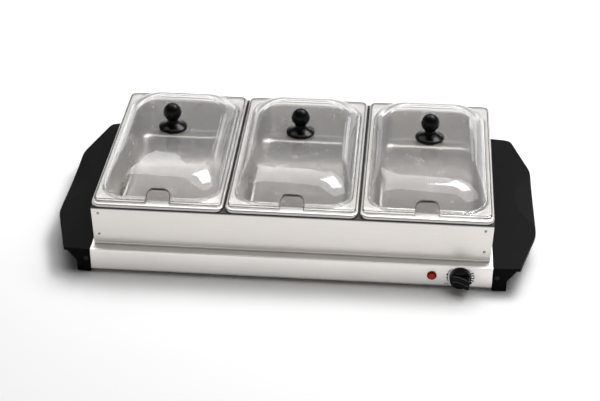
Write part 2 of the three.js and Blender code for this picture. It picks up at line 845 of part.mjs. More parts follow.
function heatShield() {
  const halfX = shieldLength / 2;
  const halfY = shieldDepth / 2;
  const wall = shieldSheet;
  const level = (grow, corner, height) =>
    ring(halfX + grow, halfY + grow, shieldCorner + corner, shieldCorner + corner, height);
  const dish = loft([
    level(-shieldSlope, 0, shieldFloor),
    level(0, 0, shieldTop),
    level(shieldRim, shieldRim, shieldTop),
    level(shieldRim, shieldRim, shieldTop - wall),
    level(wall, wall, shieldTop - wall),
    level(wall - shieldSlope, wall, shieldFloor - wall),
  ]);
  const holes = [-coldEnd, coldEnd].map((y) =>
    rod(shieldHoleRadius, shieldFloor - overrun, shieldFloor + overrun).translate(elementEnd, y, 0),
  );
  return cut(dish, ...holes);
}

// Thermostat, drawn with its spindle along +Z and the tray's front face at height 0

function dShape(radius, flat) {
  const start = Math.acos(flat / radius);
  const shape = new THREE.Shape();
  shape.absarc(0, 0, radius, start, Math.PI * 2 - start);
  return shape;
}

function thermostatBody() {
  const front = -(traySheet + seatGap);
  const back = front - thermostatDepth;
  const block = softRectangle(thermostatWidth / 2, thermostatHeight / 2, thermostatCorner);
  const tags = [-1, 1].map((side) => {
    const middle = (side * terminalTagPitch) / 2;
    const tag = rectangle(
      middle - terminalTagWidth / 2,
      middle + terminalTagWidth / 2,
      -terminalTagThickness / 2,
      terminalTagThickness / 2,
    );
    return risen(tag, back - terminalTagLength, back + overrun);
  });
  return cut(
    join(risen(block, back, front, bendSteps), rod(bushRadius, front - overrun, bushOut, turnedFacets), ...tags),
    rod(spindleRadius + seatGap, -spindleIn - seatGap, bushOut + overrun, turnedFacets),
  );
}

function thermostatNut() {
  const corner = nutAcross / Math.sqrt(3);
  const turns = [0, 1, 2, 3, 4, 5].map((i) => (i * Math.PI) / 3);
  const shape = polygon(turns.map((angle) => [corner * Math.cos(angle), corner * Math.sin(angle)]));
  const bore = new THREE.Path();
  bore.absarc(0, 0, bushRadius + seatGap, 0, Math.PI * 2);
  shape.holes.push(bore);
  return risen(shape, seatGap, seatGap + nutThickness, turnedFacets / 2);
}

function spindle() {
  const flat = dShape(spindleRadius, spindleFlat);
  const shaft = join(
    rod(spindleRadius, -spindleIn, spindleFlatStart, turnedFacets),
    risen(flat, spindleFlatStart - overrun, spindleOut, turnedFacets),
  );
  return shaft.rotateZ(gripTurn);
}

function controlKnob() {
  const face = knobRadius - knobDraft;
  const barrel = turned(
    [
      [0, knobRunning],
      [knobRadius, knobRunning],
      [face, knobBarrel - knobEdge],
      [face - knobEdge, knobBarrel],
      [0, knobBarrel],
    ],
    turnedFacets * 2,
  );
  const wedge = polygon([
    [-gripTail, knobBarrel - overrun],
    [gripNose, knobBarrel - overrun],
    [gripNose, knobReach],
    [-gripKnee, knobBarrel + gripLedge],
    [-gripTail, knobBarrel + gripLedge],
  ]);
  const grip = overlapOf(
    alongY(wedge, -gripWidth / 2, gripWidth / 2),
    rod(face - knobEdge, 0, knobReach + overrun, turnedFacets * 2),
  );
  const bore = spindleRadius + seatGap;
  const knob = cut(
    join(barrel, grip),
    rod(knobHollow, -overrun, knobBarrel - knobWeb, turnedFacets),
    rod(bore, -overrun, spindleFlatStart + seatGap, turnedFacets),
    risen(dShape(bore, spindleFlat + seatGap), 0, spindleOut + seatGap, turnedFacets),
  );
  return knob.rotateZ(gripTurn);
}

// Pilot lamp, drawn with the tray's front face at height 0

function pilotLens() {
  const foot = seatGap;
  return turned([
    [neonRadius + seatGap, -lensStemLength],
    [lensStemRadius, -lensStemLength],
    [lensStemRadius, foot],
    [lensRadius, foot],
    ...lensShares.map(([out, up]) => [lensRadius * out, foot + lensFlange + lensCrown * up]),
    [0, -seatGap],
    [neonRadius + seatGap, -seatGap],
    [neonRadius + seatGap, -lensStemLength],
  ]);
}

function neonLamp() {
  const top = -seatGap * 2;
  return turned(
    [
      [0, top - neonLength],
      [neonRadius, top - neonLength],
      [neonRadius, top - neonRadius * neonShoulderShare],
      [neonRadius * neonShoulderShare, top],
      [0, top],
    ],
    smallFacets,
  );
}

function lampClip() {
  const top = -(traySheet + seatGap);
  const inner = lensStemRadius + seatGap;
  return turned([
    [inner, top - clipThickness],
    [clipRadius, top - clipThickness],
    [clipRadius, top],
    [inner, top],
    [inner, top - clipThickness],
  ]);
}

// Thermal fuse, along X under the heat shield

const fuseHeight = shieldFloor - shieldSheet - seatGap - fuseRadius;

function thermalFuse() {
  const half = fuseLength / 2;
  const tip = half + fuseTipLength;
  const profile = [
    [0, -tip],
    [fuseTipRadius, -tip],
    [fuseTipRadius, -half],
    [fuseRadius, -half],
    [fuseRadius, half],
    [fuseTipRadius, half],
    [fuseTipRadius, tip],
    [0, tip],
  ];
  return turned(profile, smallFacets).rotateY(Math.PI / 2).translate(fusePlace, fuseBack, fuseHeight);
}

function fuseStrap() {
  const foot = shieldFloor - shieldSheet - seatGap - strapSheet / 2;
  const under = fuseHeight - fuseRadius - seatGap - strapSheet / 2;
  const side = fuseRadius + seatGap + strapSheet / 2;
  const section = foldedSheet(
    [
      [-side - strapFoot, foot],
      [-side, foot],
      [-side, under],
      [side, under],
      [side, foot],
      [side + strapFoot, foot],
    ],
    strapSheet,
    strapSheet,
  );
  return alongX(section, -strapWidth / 2, strapWidth / 2).translate(fusePlace, fuseBack, 0);
}

// Mains inlet

const blockBottom = coverTop + seatGap;
const blockWayHeight = blockBottom + blockHeight * blockWayShare;

function terminalBlock() {
  const body = softRectangle(blockLength / 2, blockDepth / 2, blockCorner);
  const top = blockBottom + blockHeight;
  const ways = [];
  for (let i = 0; i < blockWays; i++) {
    const place = (i - (blockWays - 1) / 2) * blockPitch;
    ways.push(rodAlongY(blockWayRadius, place, blockWayHeight, -blockDepth, blockDepth));
    for (const side of [-1, 1]) {
      const screw = rod(blockScrewRadius, top - blockScrewDepth, top + overrun);
      ways.push(screw.translate(place, (side * blockDepth) / 4, 0));
    }
  }
  return cut(risen(body, blockBottom, top, bendSteps), ...ways).translate(inletPlace, blockBack, 0);
}

// Grommet, drawn with the tray's back face at height 0 and the outside above it
function cordGrommet() {
  const inside = -(traySheet + seatGap);
  return turned([
    [grommetBore, inside - grommetProud],
    [grommetFlange - grommetChamfer, inside - grommetProud],
    [grommetFlange, inside - grommetProud + grommetChamfer],
    [grommetFlange, inside],
    [grommetNeck, inside],
    [grommetNeck, seatGap],
    [grommetFlange, seatGap],
    [grommetFlange, grommetProud - grommetChamfer],
    [grommetFlange - grommetChamfer, grommetProud],
    [grommetBore, grommetProud],
    [grommetBore, inside - grommetProud],
  ]);
}

// Pan rack

// The rack's front outline, which leans in towards the foot, carried from front to back.
function rackLean() {
  const half = rackLength / 2;
  const outline = polygon([
    [rackTaper - half, rackBottom],
    [half - rackTaper, rackBottom],
    [half, rackTop],
    [-half, rackTop],
  ]);
  return alongY(outline, -rackDepth, rackDepth);
}

function rackLongPanel() {
  const face = -rackDepth / 2 + rackSheet / 2;
  const low = rackBottom + rackSheet / 2;
  const high = rackTop - rackSheet / 2;
  const section = foldedSheet(
    [[face - rackFoot, low], [face, low], [face, high], [face + rackFlange, high]],
    rackBend,
    rackSheet,
  );
  const panel = overlapOf(alongX(section, -rackLength / 2, rackLength / 2), rackLean());
  const relief = rectangle(
    -rackDepth / 2 + rackSheet,
    -rackDepth / 2 + rackFlange + overrun,
    rackTop - rackSheet - rackBend - seatGap,
    rackTop + overrun,
  );
  const reach = rackLength / 2 + overrun;
  const flangeEnd = rackLength / 2 - rackWallDepth - seatGap;
  return cut(panel, alongX(relief, flangeEnd, reach), alongX(relief, -reach, -flangeEnd));
}

// The right side panel: a leaning wall with an inward top flange, and welded tabs behind the
// front and back panels.
function rackSidePanel() {
  const half = rackLength / 2 - rackSheet / 2;
  const high = rackTop - rackSheet / 2;
  const section = foldedSheet(
    [[half - rackTaper, rackBottom], [half, high], [half - rackSideFlange, high]],
    rackBend,
    rackSheet,
  );
  const inside = rackDepth / 2 - rackSheet - seatGap;
  const flangeEnd = rackDepth / 2 - rackFlange - rackSheet - seatGap;
  const wall = alongY(section, -inside, inside);
  const flangeTrim = rectangle(
    half - rackSideFlange - overrun,
    rackLength / 2 - rackWallDepth,
    rackTop - rackSheet - rackBend - seatGap,
    rackTop + overrun,
  );
  const trims = [-1, 1].map((side) => {
    const span = [side * flangeEnd, side * (inside + overrun)].sort((a, b) => a - b);
    return alongY(flangeTrim, ...span);
  });
  const tab = polygon([
    [half - rackTaper - rackCornerTab, rackBottom + rackTabTrim],
    [half - rackTaper, rackBottom + rackTabTrim],
    [half - rackSheet, rackTop - rackTabTrim],
    [half - rackSheet - rackCornerTab, rackTop - rackTabTrim],
  ]);
  const tabs = [-1, 1].map((side) => {
    const span = [side * inside, side * (inside - rackSheet)].sort((a, b) => a - b);
    return alongY(tab, ...span);
  });
  return join(cut(wall, ...trims), ...tabs);
}

function crossbar() {
  const top = rackTop - rackSheet - seatGap - rackSheet / 2;
  const side = crossbarWidth / 2 - rackSheet / 2;
  const section = foldedSheet(
    [[-side, top - crossbarDrop], [-side, top], [side, top], [side, top - crossbarDrop]],
    rackBend,
    rackSheet,
  );
  const inside = rackDepth / 2 - rackSheet - seatGap;
  return alongY(section, -inside, inside);
}

// Pans, drawn about their own middle

function pan() {
  const floor = panRimTop - panDepth;
  const rimX = panRimWidth / 2;
  const rimY = panRimDepth / 2;
  const well = (grow, height) =>
    ring(panOpenX + grow, panOpenY + grow, panCorner + grow, panCorner + grow, height);
  const rim = (inset, height) =>
    ring(rimX - inset, rimY - inset, panRimCorner - inset, panRimCorner - inset, height);
  const foot = (share) => panFloorRadius * (1 - Math.cos((share * Math.PI) / 2));
  const draw = (share) => -panDraft - panFloorRadius * (1 - Math.sin((share * Math.PI) / 2));
  const slant = panSheet * Math.SQRT1_2;
  return loft([
    well(draw(0), floor),
    well(draw(panFloorShare), floor + foot(panFloorShare)),
    well(-panDraft, floor + panFloorRadius),
    well(0, panRimTop - panEntry),
    well(panEntry, panRimTop),
    rim(panRimEdge, panRimTop),
    rim(0, panRimTop - panRimEdge),
    rim(0, panRimBottom + panRimTuck),
    rim(panRimTuck, panRimBottom),
    rim(panRimTuck + panSheet, panRimBottom),
    rim(panSheet, panRimBottom + panRimTuck),
    rim(panSheet, panRimTop - panRimEdge),
    rim(panRimEdge + panSheet, panRimTop - panSheet),
    well(panSheet + panEntry, panRimTop - panSheet),
    well(panSheet, panRimTop - panEntry - panSheet),
    well(panSheet - panDraft, floor + panFloorRadius),
    well(draw(panFloorShare) + slant, floor + foot(panFloorShare) - slant),
    well(draw(0), floor - panSheet),
  ]);
}

// Lids, drawn about their own middle

// The rings of a dome from its crown down to its foot.
function domeRings(halfX, halfY, bottom, top) {
  const rise = top - bottom;
  const side = domeInsetShares.map((share, i) => {
    const corner = lidInnerCorner + share * domeCornerGrowth;
    return ring(
      halfX - share * domeShoulderX,
      halfY - share * domeShoulderY,
      lidInnerCorner,
      corner,
      bottom + domeRiseShares[i] * rise,
    );
  });
  const crownX = (halfX - domeShoulderX) * crownHalfShare;
  const crownY = (halfY - domeShoulderY) * crownHalfShare;
  const corner = crownX * seatCornerShare;
  const crown = ring(crownX, crownY, corner, corner, bottom + crownRiseShare * rise);
  const seatCorner = seatRadius * seatCornerShare;
  const seat = ring(seatRadius, seatRadius, seatCorner, seatCorner, top);
  return [seat, crown, ...side.reverse()];
}

function lid() {
  const edgeX = panRimWidth / 2 - lidSideInset;
  const edgeY = panRimDepth / 2 - lidEndInset;
  const lipBottom = panRimTop - lidLip;
  const outer = domeRings(lidBaseX, lidBaseY, lidFlangeTop, lidTop);
  const inner = domeRings(lidBaseX - lidWall, lidBaseY - lidWall, lidFlangeBottom, lidTop - lidWall);
  const edge = (inset, height) => {
    const corner = lidCorner - inset;
    return ring(edgeX - inset, edgeY - inset, corner, corner, height);
  };
  const lip = (inset, height) => {
    const corner = lidInnerCorner - inset;
    return ring(lidBaseX - inset, lidBaseY - inset, corner, corner, height);
  };
  const shell = loft([
    ...outer,
    edge(0, lidFlangeTop),
    edge(0, lidSkirtBottom),
    edge(lidSkirtWidth, lidSkirtBottom),
    edge(lidSkirtWidth, lidFlangeBottom),
    lip(0, lidFlangeBottom),
    lip(0, lipBottom),
    lip(lidWall, lipBottom),
    ...inner.reverse().slice(1),
  ]);
  const notchTop = lidFlangeTop + notchRise;
  const half = notchWidth / 2;
  const notch = roundedPolygon([
    [-half, lipBottom - overrun, overrun / 2],
    [half, lipBottom - overrun, overrun / 2],
    [half, notchTop, notchCorner],
    [-half, notchTop, notchCorner],
  ]);
  return cut(
    shell,
    alongY(notch, -edgeY - overrun, -seatRadius, bendSteps),
    rod(studRadius + seatGap, lidTop - lidWall - overrun, lidTop + overrun),
  );
}

function lidKnob() {
  const bottom = lidTop + seatGap;
  const ball = bottom + lidKnobHeight - lidKnobBall;
  const skirt = lidKnobShares.map((share, i) => [
    lidKnobNeck + lidKnobSpreadShares[i] * (lidKnobFlange - lidKnobNeck),
    bottom + share * lidKnobHeight,
  ]);
  const start = Math.asin(lidKnobNeck / lidKnobBall);
  const round = [];
  for (let i = 0; i <= ballSteps; i++) {
    const angle = start + (i / ballSteps) * (Math.PI - start);
    round.push([
      i === ballSteps ? 0 : lidKnobBall * Math.sin(angle),
      ball - lidKnobBall * Math.cos(angle),
    ]);
  }
  const boreTop = lidTop + studLength - lidWall;
  const bore = studRadius + seatGap;
  return turned([
    [0, boreTop],
    [bore, boreTop],
    [bore, bottom],
    [lidKnobFoot, bottom],
    ...skirt,
    ...round,
  ]);
}

function lidWasher() {
  const top = lidTop - lidWall - seatGap;
  const bottom = top - washerThickness;
  const inner = studRadius + seatGap;
  return turned(
    [[inner, bottom], [washerRadius, bottom], [washerRadius, top], [inner, top], [inner, bottom]],
    smallFacets,
  );
}

function lidScrew() {
  const seat = lidTop - lidWall - washerThickness - seatGap * 2;
  const head = seat - studHeadHeight;
  const tip = lidTop + studLength - lidWall - seatGap;
  const [faceShare, edgeShare] = studHeadShares;
  return turned(
    [
      [0, head],
      [studHeadRadius * faceShare, head],
      [studHeadRadius, head + studHeadHeight * edgeShare],
      [studHeadRadius, seat],
      [studRadius, seat],
      [studRadius, tip],
      [0, tip],
    ],
    smallFacets,
  );
}

// The assembly

const server = new THREE.Group();
server.position.y = (knobReach - grommetProud) / 2;

function place(group, name, geometry, material, x = 0, y = 0, z = 0) {
  const mesh = new THREE.Mesh(geometry, material);
  mesh.name = name;
  mesh.position.set(x, y, z);
  group.add(mesh);
  return mesh;
}

// A nested group that is moved and turned as one.
function subgroup(parent, x, y, z, turnX = 0) {
  const group = new THREE.Group();
  group.position.set(x, y, z);
  group.rotation.x = turnX;
  parent.add(group);
  return group;
}

const ends = [["left", -1], ["right", 1]];
const faces = [["front", -1], ["back", 1]];

const base = subgroup(server, 0, 0, 0);
place(base, "warming_tray", warmingTray(), brushedSteel);
place(base, "bottom_cover", bottomCover(), zincSteel);
for (const [end, side] of ends) {
  place(base, `end_cap_${end}`, endCap(), blackPlastic).scale.x = side;
  place(base, `end_bracket_${end}`, endBracket(), zincSteel).scale.x = side;
  padPlaces().forEach(([x, y], i) => {
    place(base, `foot_pad_${faces[i][0]}_${end}`, footPad(), rubber, side * x, y);
  });
  for (const [face, way] of faces) {
    const seat = way * (capHalfDepth - counterboreDepth + seatGap);
    const group = subgroup(base, side * (capInner + screwReach), seat, screwHeight, (-way * Math.PI) / 2);
    place(group, `cap_screw_${face}_${end}`, capScrew(), blackenedSteel);
  }
}

place(base, "heat_spreader", heatSpreader(), aluminium);
place(base, "heating_element", heatingElement(), elementSheath);
place(base, "heat_shield", heatShield(), zincSteel);
for (let i = 0; i < clampCount; i++) {
  const x = (i - (clampCount - 1) / 2) * clampPitch;
  place(base, `element_clamp_${i + 1}`, elementClamp(), zincSteel, x);
}

const controls = subgroup(base, knobPlace, -trayDepth / 2, knobHeight, Math.PI / 2);
place(controls, "thermostat_body", thermostatBody(), whiteCeramic);
place(controls, "thermostat_nut", thermostatNut(), zincSteel);
place(controls, "thermostat_spindle", spindle(), zincSteel);
place(controls, "control_knob", controlKnob(), glossBlack);

const lamp = subgroup(base, lampPlace, -trayDepth / 2, lampHeight, Math.PI / 2);
place(lamp, "pilot_lens", pilotLens(), redLens);
place(lamp, "neon_lamp", neonLamp(), neonGlass);
place(lamp, "lamp_clip", lampClip(), zincSteel);

place(base, "thermal_fuse", thermalFuse(), aluminium);
place(base, "fuse_strap", fuseStrap(), zincSteel);
place(base, "terminal_block", terminalBlock(), whiteCeramic);
const inlet = subgroup(base, inletPlace, trayDepth / 2, inletHeight, -Math.PI / 2);
place(inlet, "cord_grommet", cordGrommet(), rubber);

// Wires, from tag to tag over the cover. Each ends a seat gap short of what it serves.
const tagEnd = -trayDepth / 2 + traySheet + seatGap * 2 + thermostatDepth + terminalTagLength;
const tagLeft = knobPlace - terminalTagPitch / 2;
const tagRight = knobPlace + terminalTagPitch / 2;
const blockFront = blockBack - blockDepth / 2 - seatGap;
const coldTip = elementTip - seatGap;
const fuseTip = fuseLength / 2 + fuseTipLength + seatGap;
const wayLeft = inletPlace - blockPitch;
const wayRight = inletPlace + blockPitch;
const wires = {
  wire_supply: [
    [wayRight, blockFront, blockWayHeight],
    [wayRight, blockFront - wireLead, blockWayHeight],
    [wayRight, blockFront - wireLead * 2, wireLift],
    [tagRight, tagEnd + wireLead * 2, wireLift],
    [tagRight, tagEnd + wireLead, knobHeight],
    [tagRight, tagEnd, knobHeight],
  ],
  wire_switched: [
    [tagLeft, tagEnd, knobHeight],
    [tagLeft, tagEnd + wireLead, knobHeight],
    [tagLeft, tagEnd + wireLead * 2, wireLift],
    [elementEnd, -coldEnd, wireLift],
    [elementEnd, -coldEnd, coldTip],
  ],
  wire_element_fuse: [
    [elementEnd, coldEnd, coldTip],
    [elementEnd, coldEnd, wireLift],
    [fusePlace + fuseTip + wireLead * 2, fuseBack, wireLift],
    [fusePlace + fuseTip + wireLead, fuseBack, fuseHeight],
    [fusePlace + fuseTip, fuseBack, fuseHeight],
  ],
  wire_fuse_return: [
    [fusePlace - fuseTip, fuseBack, fuseHeight],
    [fusePlace - fuseTip - wireLead, fuseBack, fuseHeight],
    [fusePlace - fuseTip - wireLead, fuseBack + wireLead * 2, wireLift],
    [wayLeft, blockFront - wireLead * 2, wireLift],
    [wayLeft, blockFront - wireLead, blockWayHeight],
    [wayLeft, blockFront, blockWayHeight],
  ],
};
for (const [name, places] of Object.entries(wires)) {
  place(base, name, wire(places), wireCover);
}

const rack = subgroup(server, 0, 0, 0);
place(rack, "rack_front_panel", rackLongPanel(), brushedSteel);
place(rack, "rack_back_panel", rackLongPanel(), brushedSteel).rotation.z = Math.PI;
place(rack, "rack_side_right", rackSidePanel(), brushedSteel);
place(rack, "rack_side_left", rackSidePanel(), brushedSteel).rotation.z = Math.PI;
for (const [end, side] of ends) {
  place(rack, `crossbar_${end}`, crossbar(), blackenedSteel, (side * panPitch) / 2);
}

const stations = ["left", "middle", "right"];
for (let i = 0; i < panCount; i++) {
  const name = stations[i];
  const station = subgroup(rack, (i - (panCount - 1) / 2) * panPitch, 0, 0);
  place(station, `pan_${name}`, pan(), polishedSteel);
  place(station, `lid_${name}`, lid(), clearPlastic);
  place(station, `lid_knob_${name}`, lidKnob(), glossBlack);
  place(station, `lid_washer_${name}`, lidWasher(), rubber);
  place(station, `lid_screw_${name}`, lidScrew(), zincSteel);
}

export default server;
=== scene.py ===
"""Looks of an electric buffet server: finishes, drawn-metal pans, clear lids, knobs and prints.

Every length is in metres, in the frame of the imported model: +X runs along the row of pans to the
right, +Y to the back, +Z up, and the origin is on the table under the middle of the server.
"""

from __future__ import annotations

import json
import logging
import math
from dataclasses import dataclass
from enum import Enum
from itertools import product
from typing import Any, Sequence

import bmesh
import bpy
import numpy as np
from bpy.types import Material, Mesh, Node, NodeSocket, NodeTree, Object
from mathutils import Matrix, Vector


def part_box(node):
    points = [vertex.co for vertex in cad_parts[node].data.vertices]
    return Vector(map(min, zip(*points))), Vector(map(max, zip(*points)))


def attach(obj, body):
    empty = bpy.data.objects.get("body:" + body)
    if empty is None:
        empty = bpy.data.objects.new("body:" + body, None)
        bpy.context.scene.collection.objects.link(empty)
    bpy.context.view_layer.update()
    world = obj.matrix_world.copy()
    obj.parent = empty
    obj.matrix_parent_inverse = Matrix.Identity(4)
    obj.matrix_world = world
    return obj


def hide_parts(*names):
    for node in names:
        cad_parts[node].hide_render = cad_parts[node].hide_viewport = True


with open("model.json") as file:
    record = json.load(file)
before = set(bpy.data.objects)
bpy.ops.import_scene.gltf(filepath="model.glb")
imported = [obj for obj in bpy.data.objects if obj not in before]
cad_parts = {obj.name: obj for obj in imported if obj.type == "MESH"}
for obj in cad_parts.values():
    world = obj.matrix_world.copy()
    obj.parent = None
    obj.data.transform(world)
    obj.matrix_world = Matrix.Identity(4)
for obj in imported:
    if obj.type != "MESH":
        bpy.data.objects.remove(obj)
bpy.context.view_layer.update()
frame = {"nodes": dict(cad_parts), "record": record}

logging.basicConfig(level=logging.INFO, format="%(name)s: %(message)s")
log = logging.getLogger("buffet_server")

MM = 0.001
SHARP = math.radians(35)  # edges turned by more than this stay sharp
SAME_PLACE = 1e-7  # points nearer than this are one
SLIVER = 1e-8  # edges shorter than this go

Colour = tuple[float, float, float]
Place = tuple[float, float, float]


class Slot(Enum):
    """The record's material slots that new pieces take their finish from."""

    RACK_STEEL = "rack_steel"
    PAN_STEEL = "pan_steel"
    CLEAR_PLASTIC = "clear_plastic"
    GLOSS_BLACK = "gloss_black"


class Body(Enum):
    """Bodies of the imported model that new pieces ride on."""

    BASE = "base"
    RACK = "rack"
    THERMOSTAT_KNOB = "thermostat_knob"


class Station(Enum):
    """The three places in the row of pans."""

    LEFT = "left"
    MIDDLE = "middle"
    RIGHT = "right"


# ---- Shader maths


@dataclass(frozen=True)
class Noise:
    """Fractal noise: its scale, octaves, their roughness, and its stretch along X, Y and Z."""

    scale: float
    detail: float
    rough: float
    stretch: Place = (1, 1, 1)


@dataclass(frozen=True)
class Signal:
    """What a node gives out, such as a number or colour that varies over a surface."""

    wires: Wiring
    socket: NodeSocket

    def _maths(self, operation: str, first: Any, second: Any) -> Signal:
        """The result of a Math node on two signals or numbers."""
        return self.wires.signal("ShaderNodeMath", {"operation": operation}, {0: first, 1: second})

    def __add__(self, other: Any) -> Signal:
        """self + other."""
        return self._maths("ADD", self, other)

    def __rsub__(self, other: Any) -> Signal:
        """other - self."""
        return self._maths("SUBTRACT", other, self)

    def __mul__(self, other: Any) -> Signal:
        """self * other."""
        return self._maths("MULTIPLY", self, other)


class Wiring:
    """A node tree under construction."""

    def __init__(self, tree: NodeTree) -> None:
        """Takes the tree to build in."""
        self.tree = tree

    def node(self, kind: str, settings: dict[str, Any], inputs: dict[Any, Any]) -> Node:
        """Adds a node.

        Args:
            kind: the node's type.
            settings: attributes to set before its sockets are fed.
            inputs: socket name or number to a value, a signal or a socket.

        Returns:
            The node.
        """
        made = self.tree.nodes.new(kind)
        for key, value in settings.items():
            setattr(made, key, value)
        self.feed(made, inputs)
        return made

    def signal(self, kind: str, settings: dict[str, Any], inputs: dict[Any, Any],
               output: str | int = 0) -> Signal:
        """Adds a node, as node does, and gives its output of that name or number."""
        return Signal(self, self.node(kind, settings, inputs).outputs[output])

    def feed(self, node: Node, inputs: dict[Any, Any]) -> None:
        """Sets or links sockets of a node.

        Args:
            node: the node to feed.
            inputs: socket name or number to a value, a signal or a socket.
        """
        for key, value in inputs.items():
            value = getattr(value, "socket", value)
            if isinstance(value, NodeSocket):
                self.tree.links.new(value, node.inputs[key])
            elif node.inputs[key].type == "RGBA":
                node.inputs[key].default_value = (*value, 1)
            else:
                node.inputs[key].default_value = value


class Paint(Wiring):
    """A material under construction: a Principled shader and what feeds it."""

    def __init__(self, name: str) -> None:
        """Starts a material of that name with a plain Principled shader."""
        self.material = bpy.data.materials.new(name)
        self.material.use_nodes = True
        super().__init__(self.material.node_tree)
        self.shader = self.tree.nodes["Principled BSDF"]
        self.output = self.tree.nodes["Material Output"]

    def place(self, scale: Place = (1, 1, 1), turn: Place = (0, 0, 0),
              move: Place = (0, 0, 0)) -> Signal:
        """Object coordinates, stretched, then turned, then moved.

        Args:
            scale: factors along X, Y and Z.
            turn: angles about X, Y and Z in radians.
            move: the shift.

        Returns:
            The mapped vector.
        """
        spot = self.signal("ShaderNodeTexCoord", {}, {}, "Object")
        inputs = {"Vector": spot, "Scale": scale, "Rotation": turn, "Location": move}
        return self.signal("ShaderNodeMapping", {}, inputs)

    def height(self) -> Signal:
        """Height above the table."""
        return self.signal("ShaderNodeSeparateXYZ", {}, {0: self.place()}, "Z")

    def distance(self, vector: Signal) -> Signal:
        """Length of a mapped vector."""
        return self.signal("ShaderNodeVectorMath", {"operation": "LENGTH"}, {0: vector}, "Value")

    def share(self, value: Signal, low: float, high: float, kind: str = "LINEAR") -> Signal:
        """How far a signal has come from low, which gives 0, to high, which gives 1."""
        inputs = {"Value": value, "From Min": low, "From Max": high}
        return self.signal("ShaderNodeMapRange", {"interpolation_type": kind}, inputs)

    def noise(self, kind: Noise) -> Signal:
        """Noise between 0 and 1 over the surface."""
        inputs = {
            "Vector": self.place(kind.stretch),
            "Scale": kind.scale,
            "Detail": kind.detail,
            "Roughness": kind.rough,
        }
        return self.signal("ShaderNodeTexNoise", {}, inputs, "Fac")

    def wave(self, vector: Signal, scale: float, **settings: str) -> Signal:
        """Sine waves between 0 and 1 on a mapped vector."""
        inputs = {"Vector": vector, "Scale": scale}
        return self.signal("ShaderNodeTexWave", settings, inputs, "Fac")

    def blend(self, factor: Signal, low: Any, high: Any) -> Signal:
        """A colour between low, where the factor is 0, and high, where it is 1."""
        inputs = {0: factor, 6: low, 7: high}
        return self.signal("ShaderNodeMix", {"data_type": "RGBA"}, inputs, 2)

    def shades(self, factor: Signal, colour: Colour, low: float, high: float) -> Signal:
        """A colour times low, where the factor is 0, to the colour times high, where it is 1."""
        return self.blend(factor, scaled(colour, low), scaled(colour, high))

    def bump(self, height: Signal, depth: float, strength: float) -> None:
        """Lets a height signal tilt the surface, over a depth in metres."""
        inputs = {"Height": height, "Distance": depth, "Strength": strength}
        self.feed(self.shader, {"Normal": self.signal("ShaderNodeBump", {}, inputs)})

    def rays(self, *kinds: str) -> Signal:
        """1 for rays of the given kinds, such as Camera or Shadow, and 0 for others."""
        path = self.node("ShaderNodeLightPath", {}, {})
        first, *others = (Signal(self, path.outputs[f"Is {kind} Ray"]) for kind in kinds)
        return sum(others, first)

    def replace_where(self, factor: Signal, kind: str, inputs: dict[str, Any]) -> None:
        """Puts another shader in the Principled shader's place where a factor is 1.

        Args:
            factor: the share of the other shader.
            kind: the other shader's node type.
            inputs: its values.
        """
        other = self.signal(kind, {}, inputs)
        inputs = {"Fac": factor, 1: self.shader.outputs["BSDF"], 2: other}
        self.feed(self.output, {"Surface": self.signal("ShaderNodeMixShader", {}, inputs)})


def scaled(colour: Colour, factor: float) -> Colour:
    """The colour made lighter or darker by a factor."""
    return tuple(min(channel * factor, 1.0) for channel in colour)


# ---- Finishes


@dataclass(frozen=True)
class Finish:
    """A finish under the name of its material."""

    name: str

    def material(self) -> Material:
        """Builds the node material."""
        paint = Paint(self.name)
        self.cover(paint)
        return paint.material

    def cover(self, paint: Paint) -> None:
        """Feeds the shader, each kind of finish in its own way."""
        raise NotImplementedError


@dataclass(frozen=True)
class GrainedSteel(Finish):
    """Sheet steel with a grain along X, faint mill clouds and a few rub marks.

    Above the height painted_shade_from it is darkened, ever more over painted_shade_over: painted
    shade under the pans' rims and in the gaps between the pans.
    """

    colour: Colour
    roughness: float
    painted_shade_from: float = 1.0
    painted_shade_over: float = 2.5 * MM
    painted_shade_depth: float = 0.06
    cloud: float = 0.05
    grain_depth: float = 0.00004
    grain: Noise = Noise(1, 2, 0.6, (6, 2600, 2600))
    clouds: Noise = Noise(1, 3, 0.5, (9, 9, 9))
    rubs: Noise = Noise(1, 4, 0.6, (30, 70, 70))

    def cover(self, paint: Paint) -> None:
        """Feeds the shader."""
        grain, clouds = paint.noise(self.grain), paint.noise(self.clouds)
        rubs = paint.share(paint.noise(self.rubs), 0.55, 0.8)
        tone = paint.share(grain * 0.7 + clouds * 0.3, 0.3, 0.7)
        bright = paint.shades(tone, self.colour, 1 - self.cloud, 1 + self.cloud)
        # painted shade: the steel turns dark above a set height, under the pans' rims and between
        # the pans
        tint = paint.share(paint.height(), self.painted_shade_from, self.painted_shade_from + self.painted_shade_over)
        paint.feed(paint.shader, {
            "Base Color": paint.blend(tint, bright, scaled(self.colour, self.painted_shade_depth)),
            "Metallic": 1.0,
            "Roughness": grain * 0.10 + clouds * 0.06 + rubs * 0.05 + (self.roughness - 0.08),
        })
        paint.bump(grain, self.grain_depth, strength=0.6)


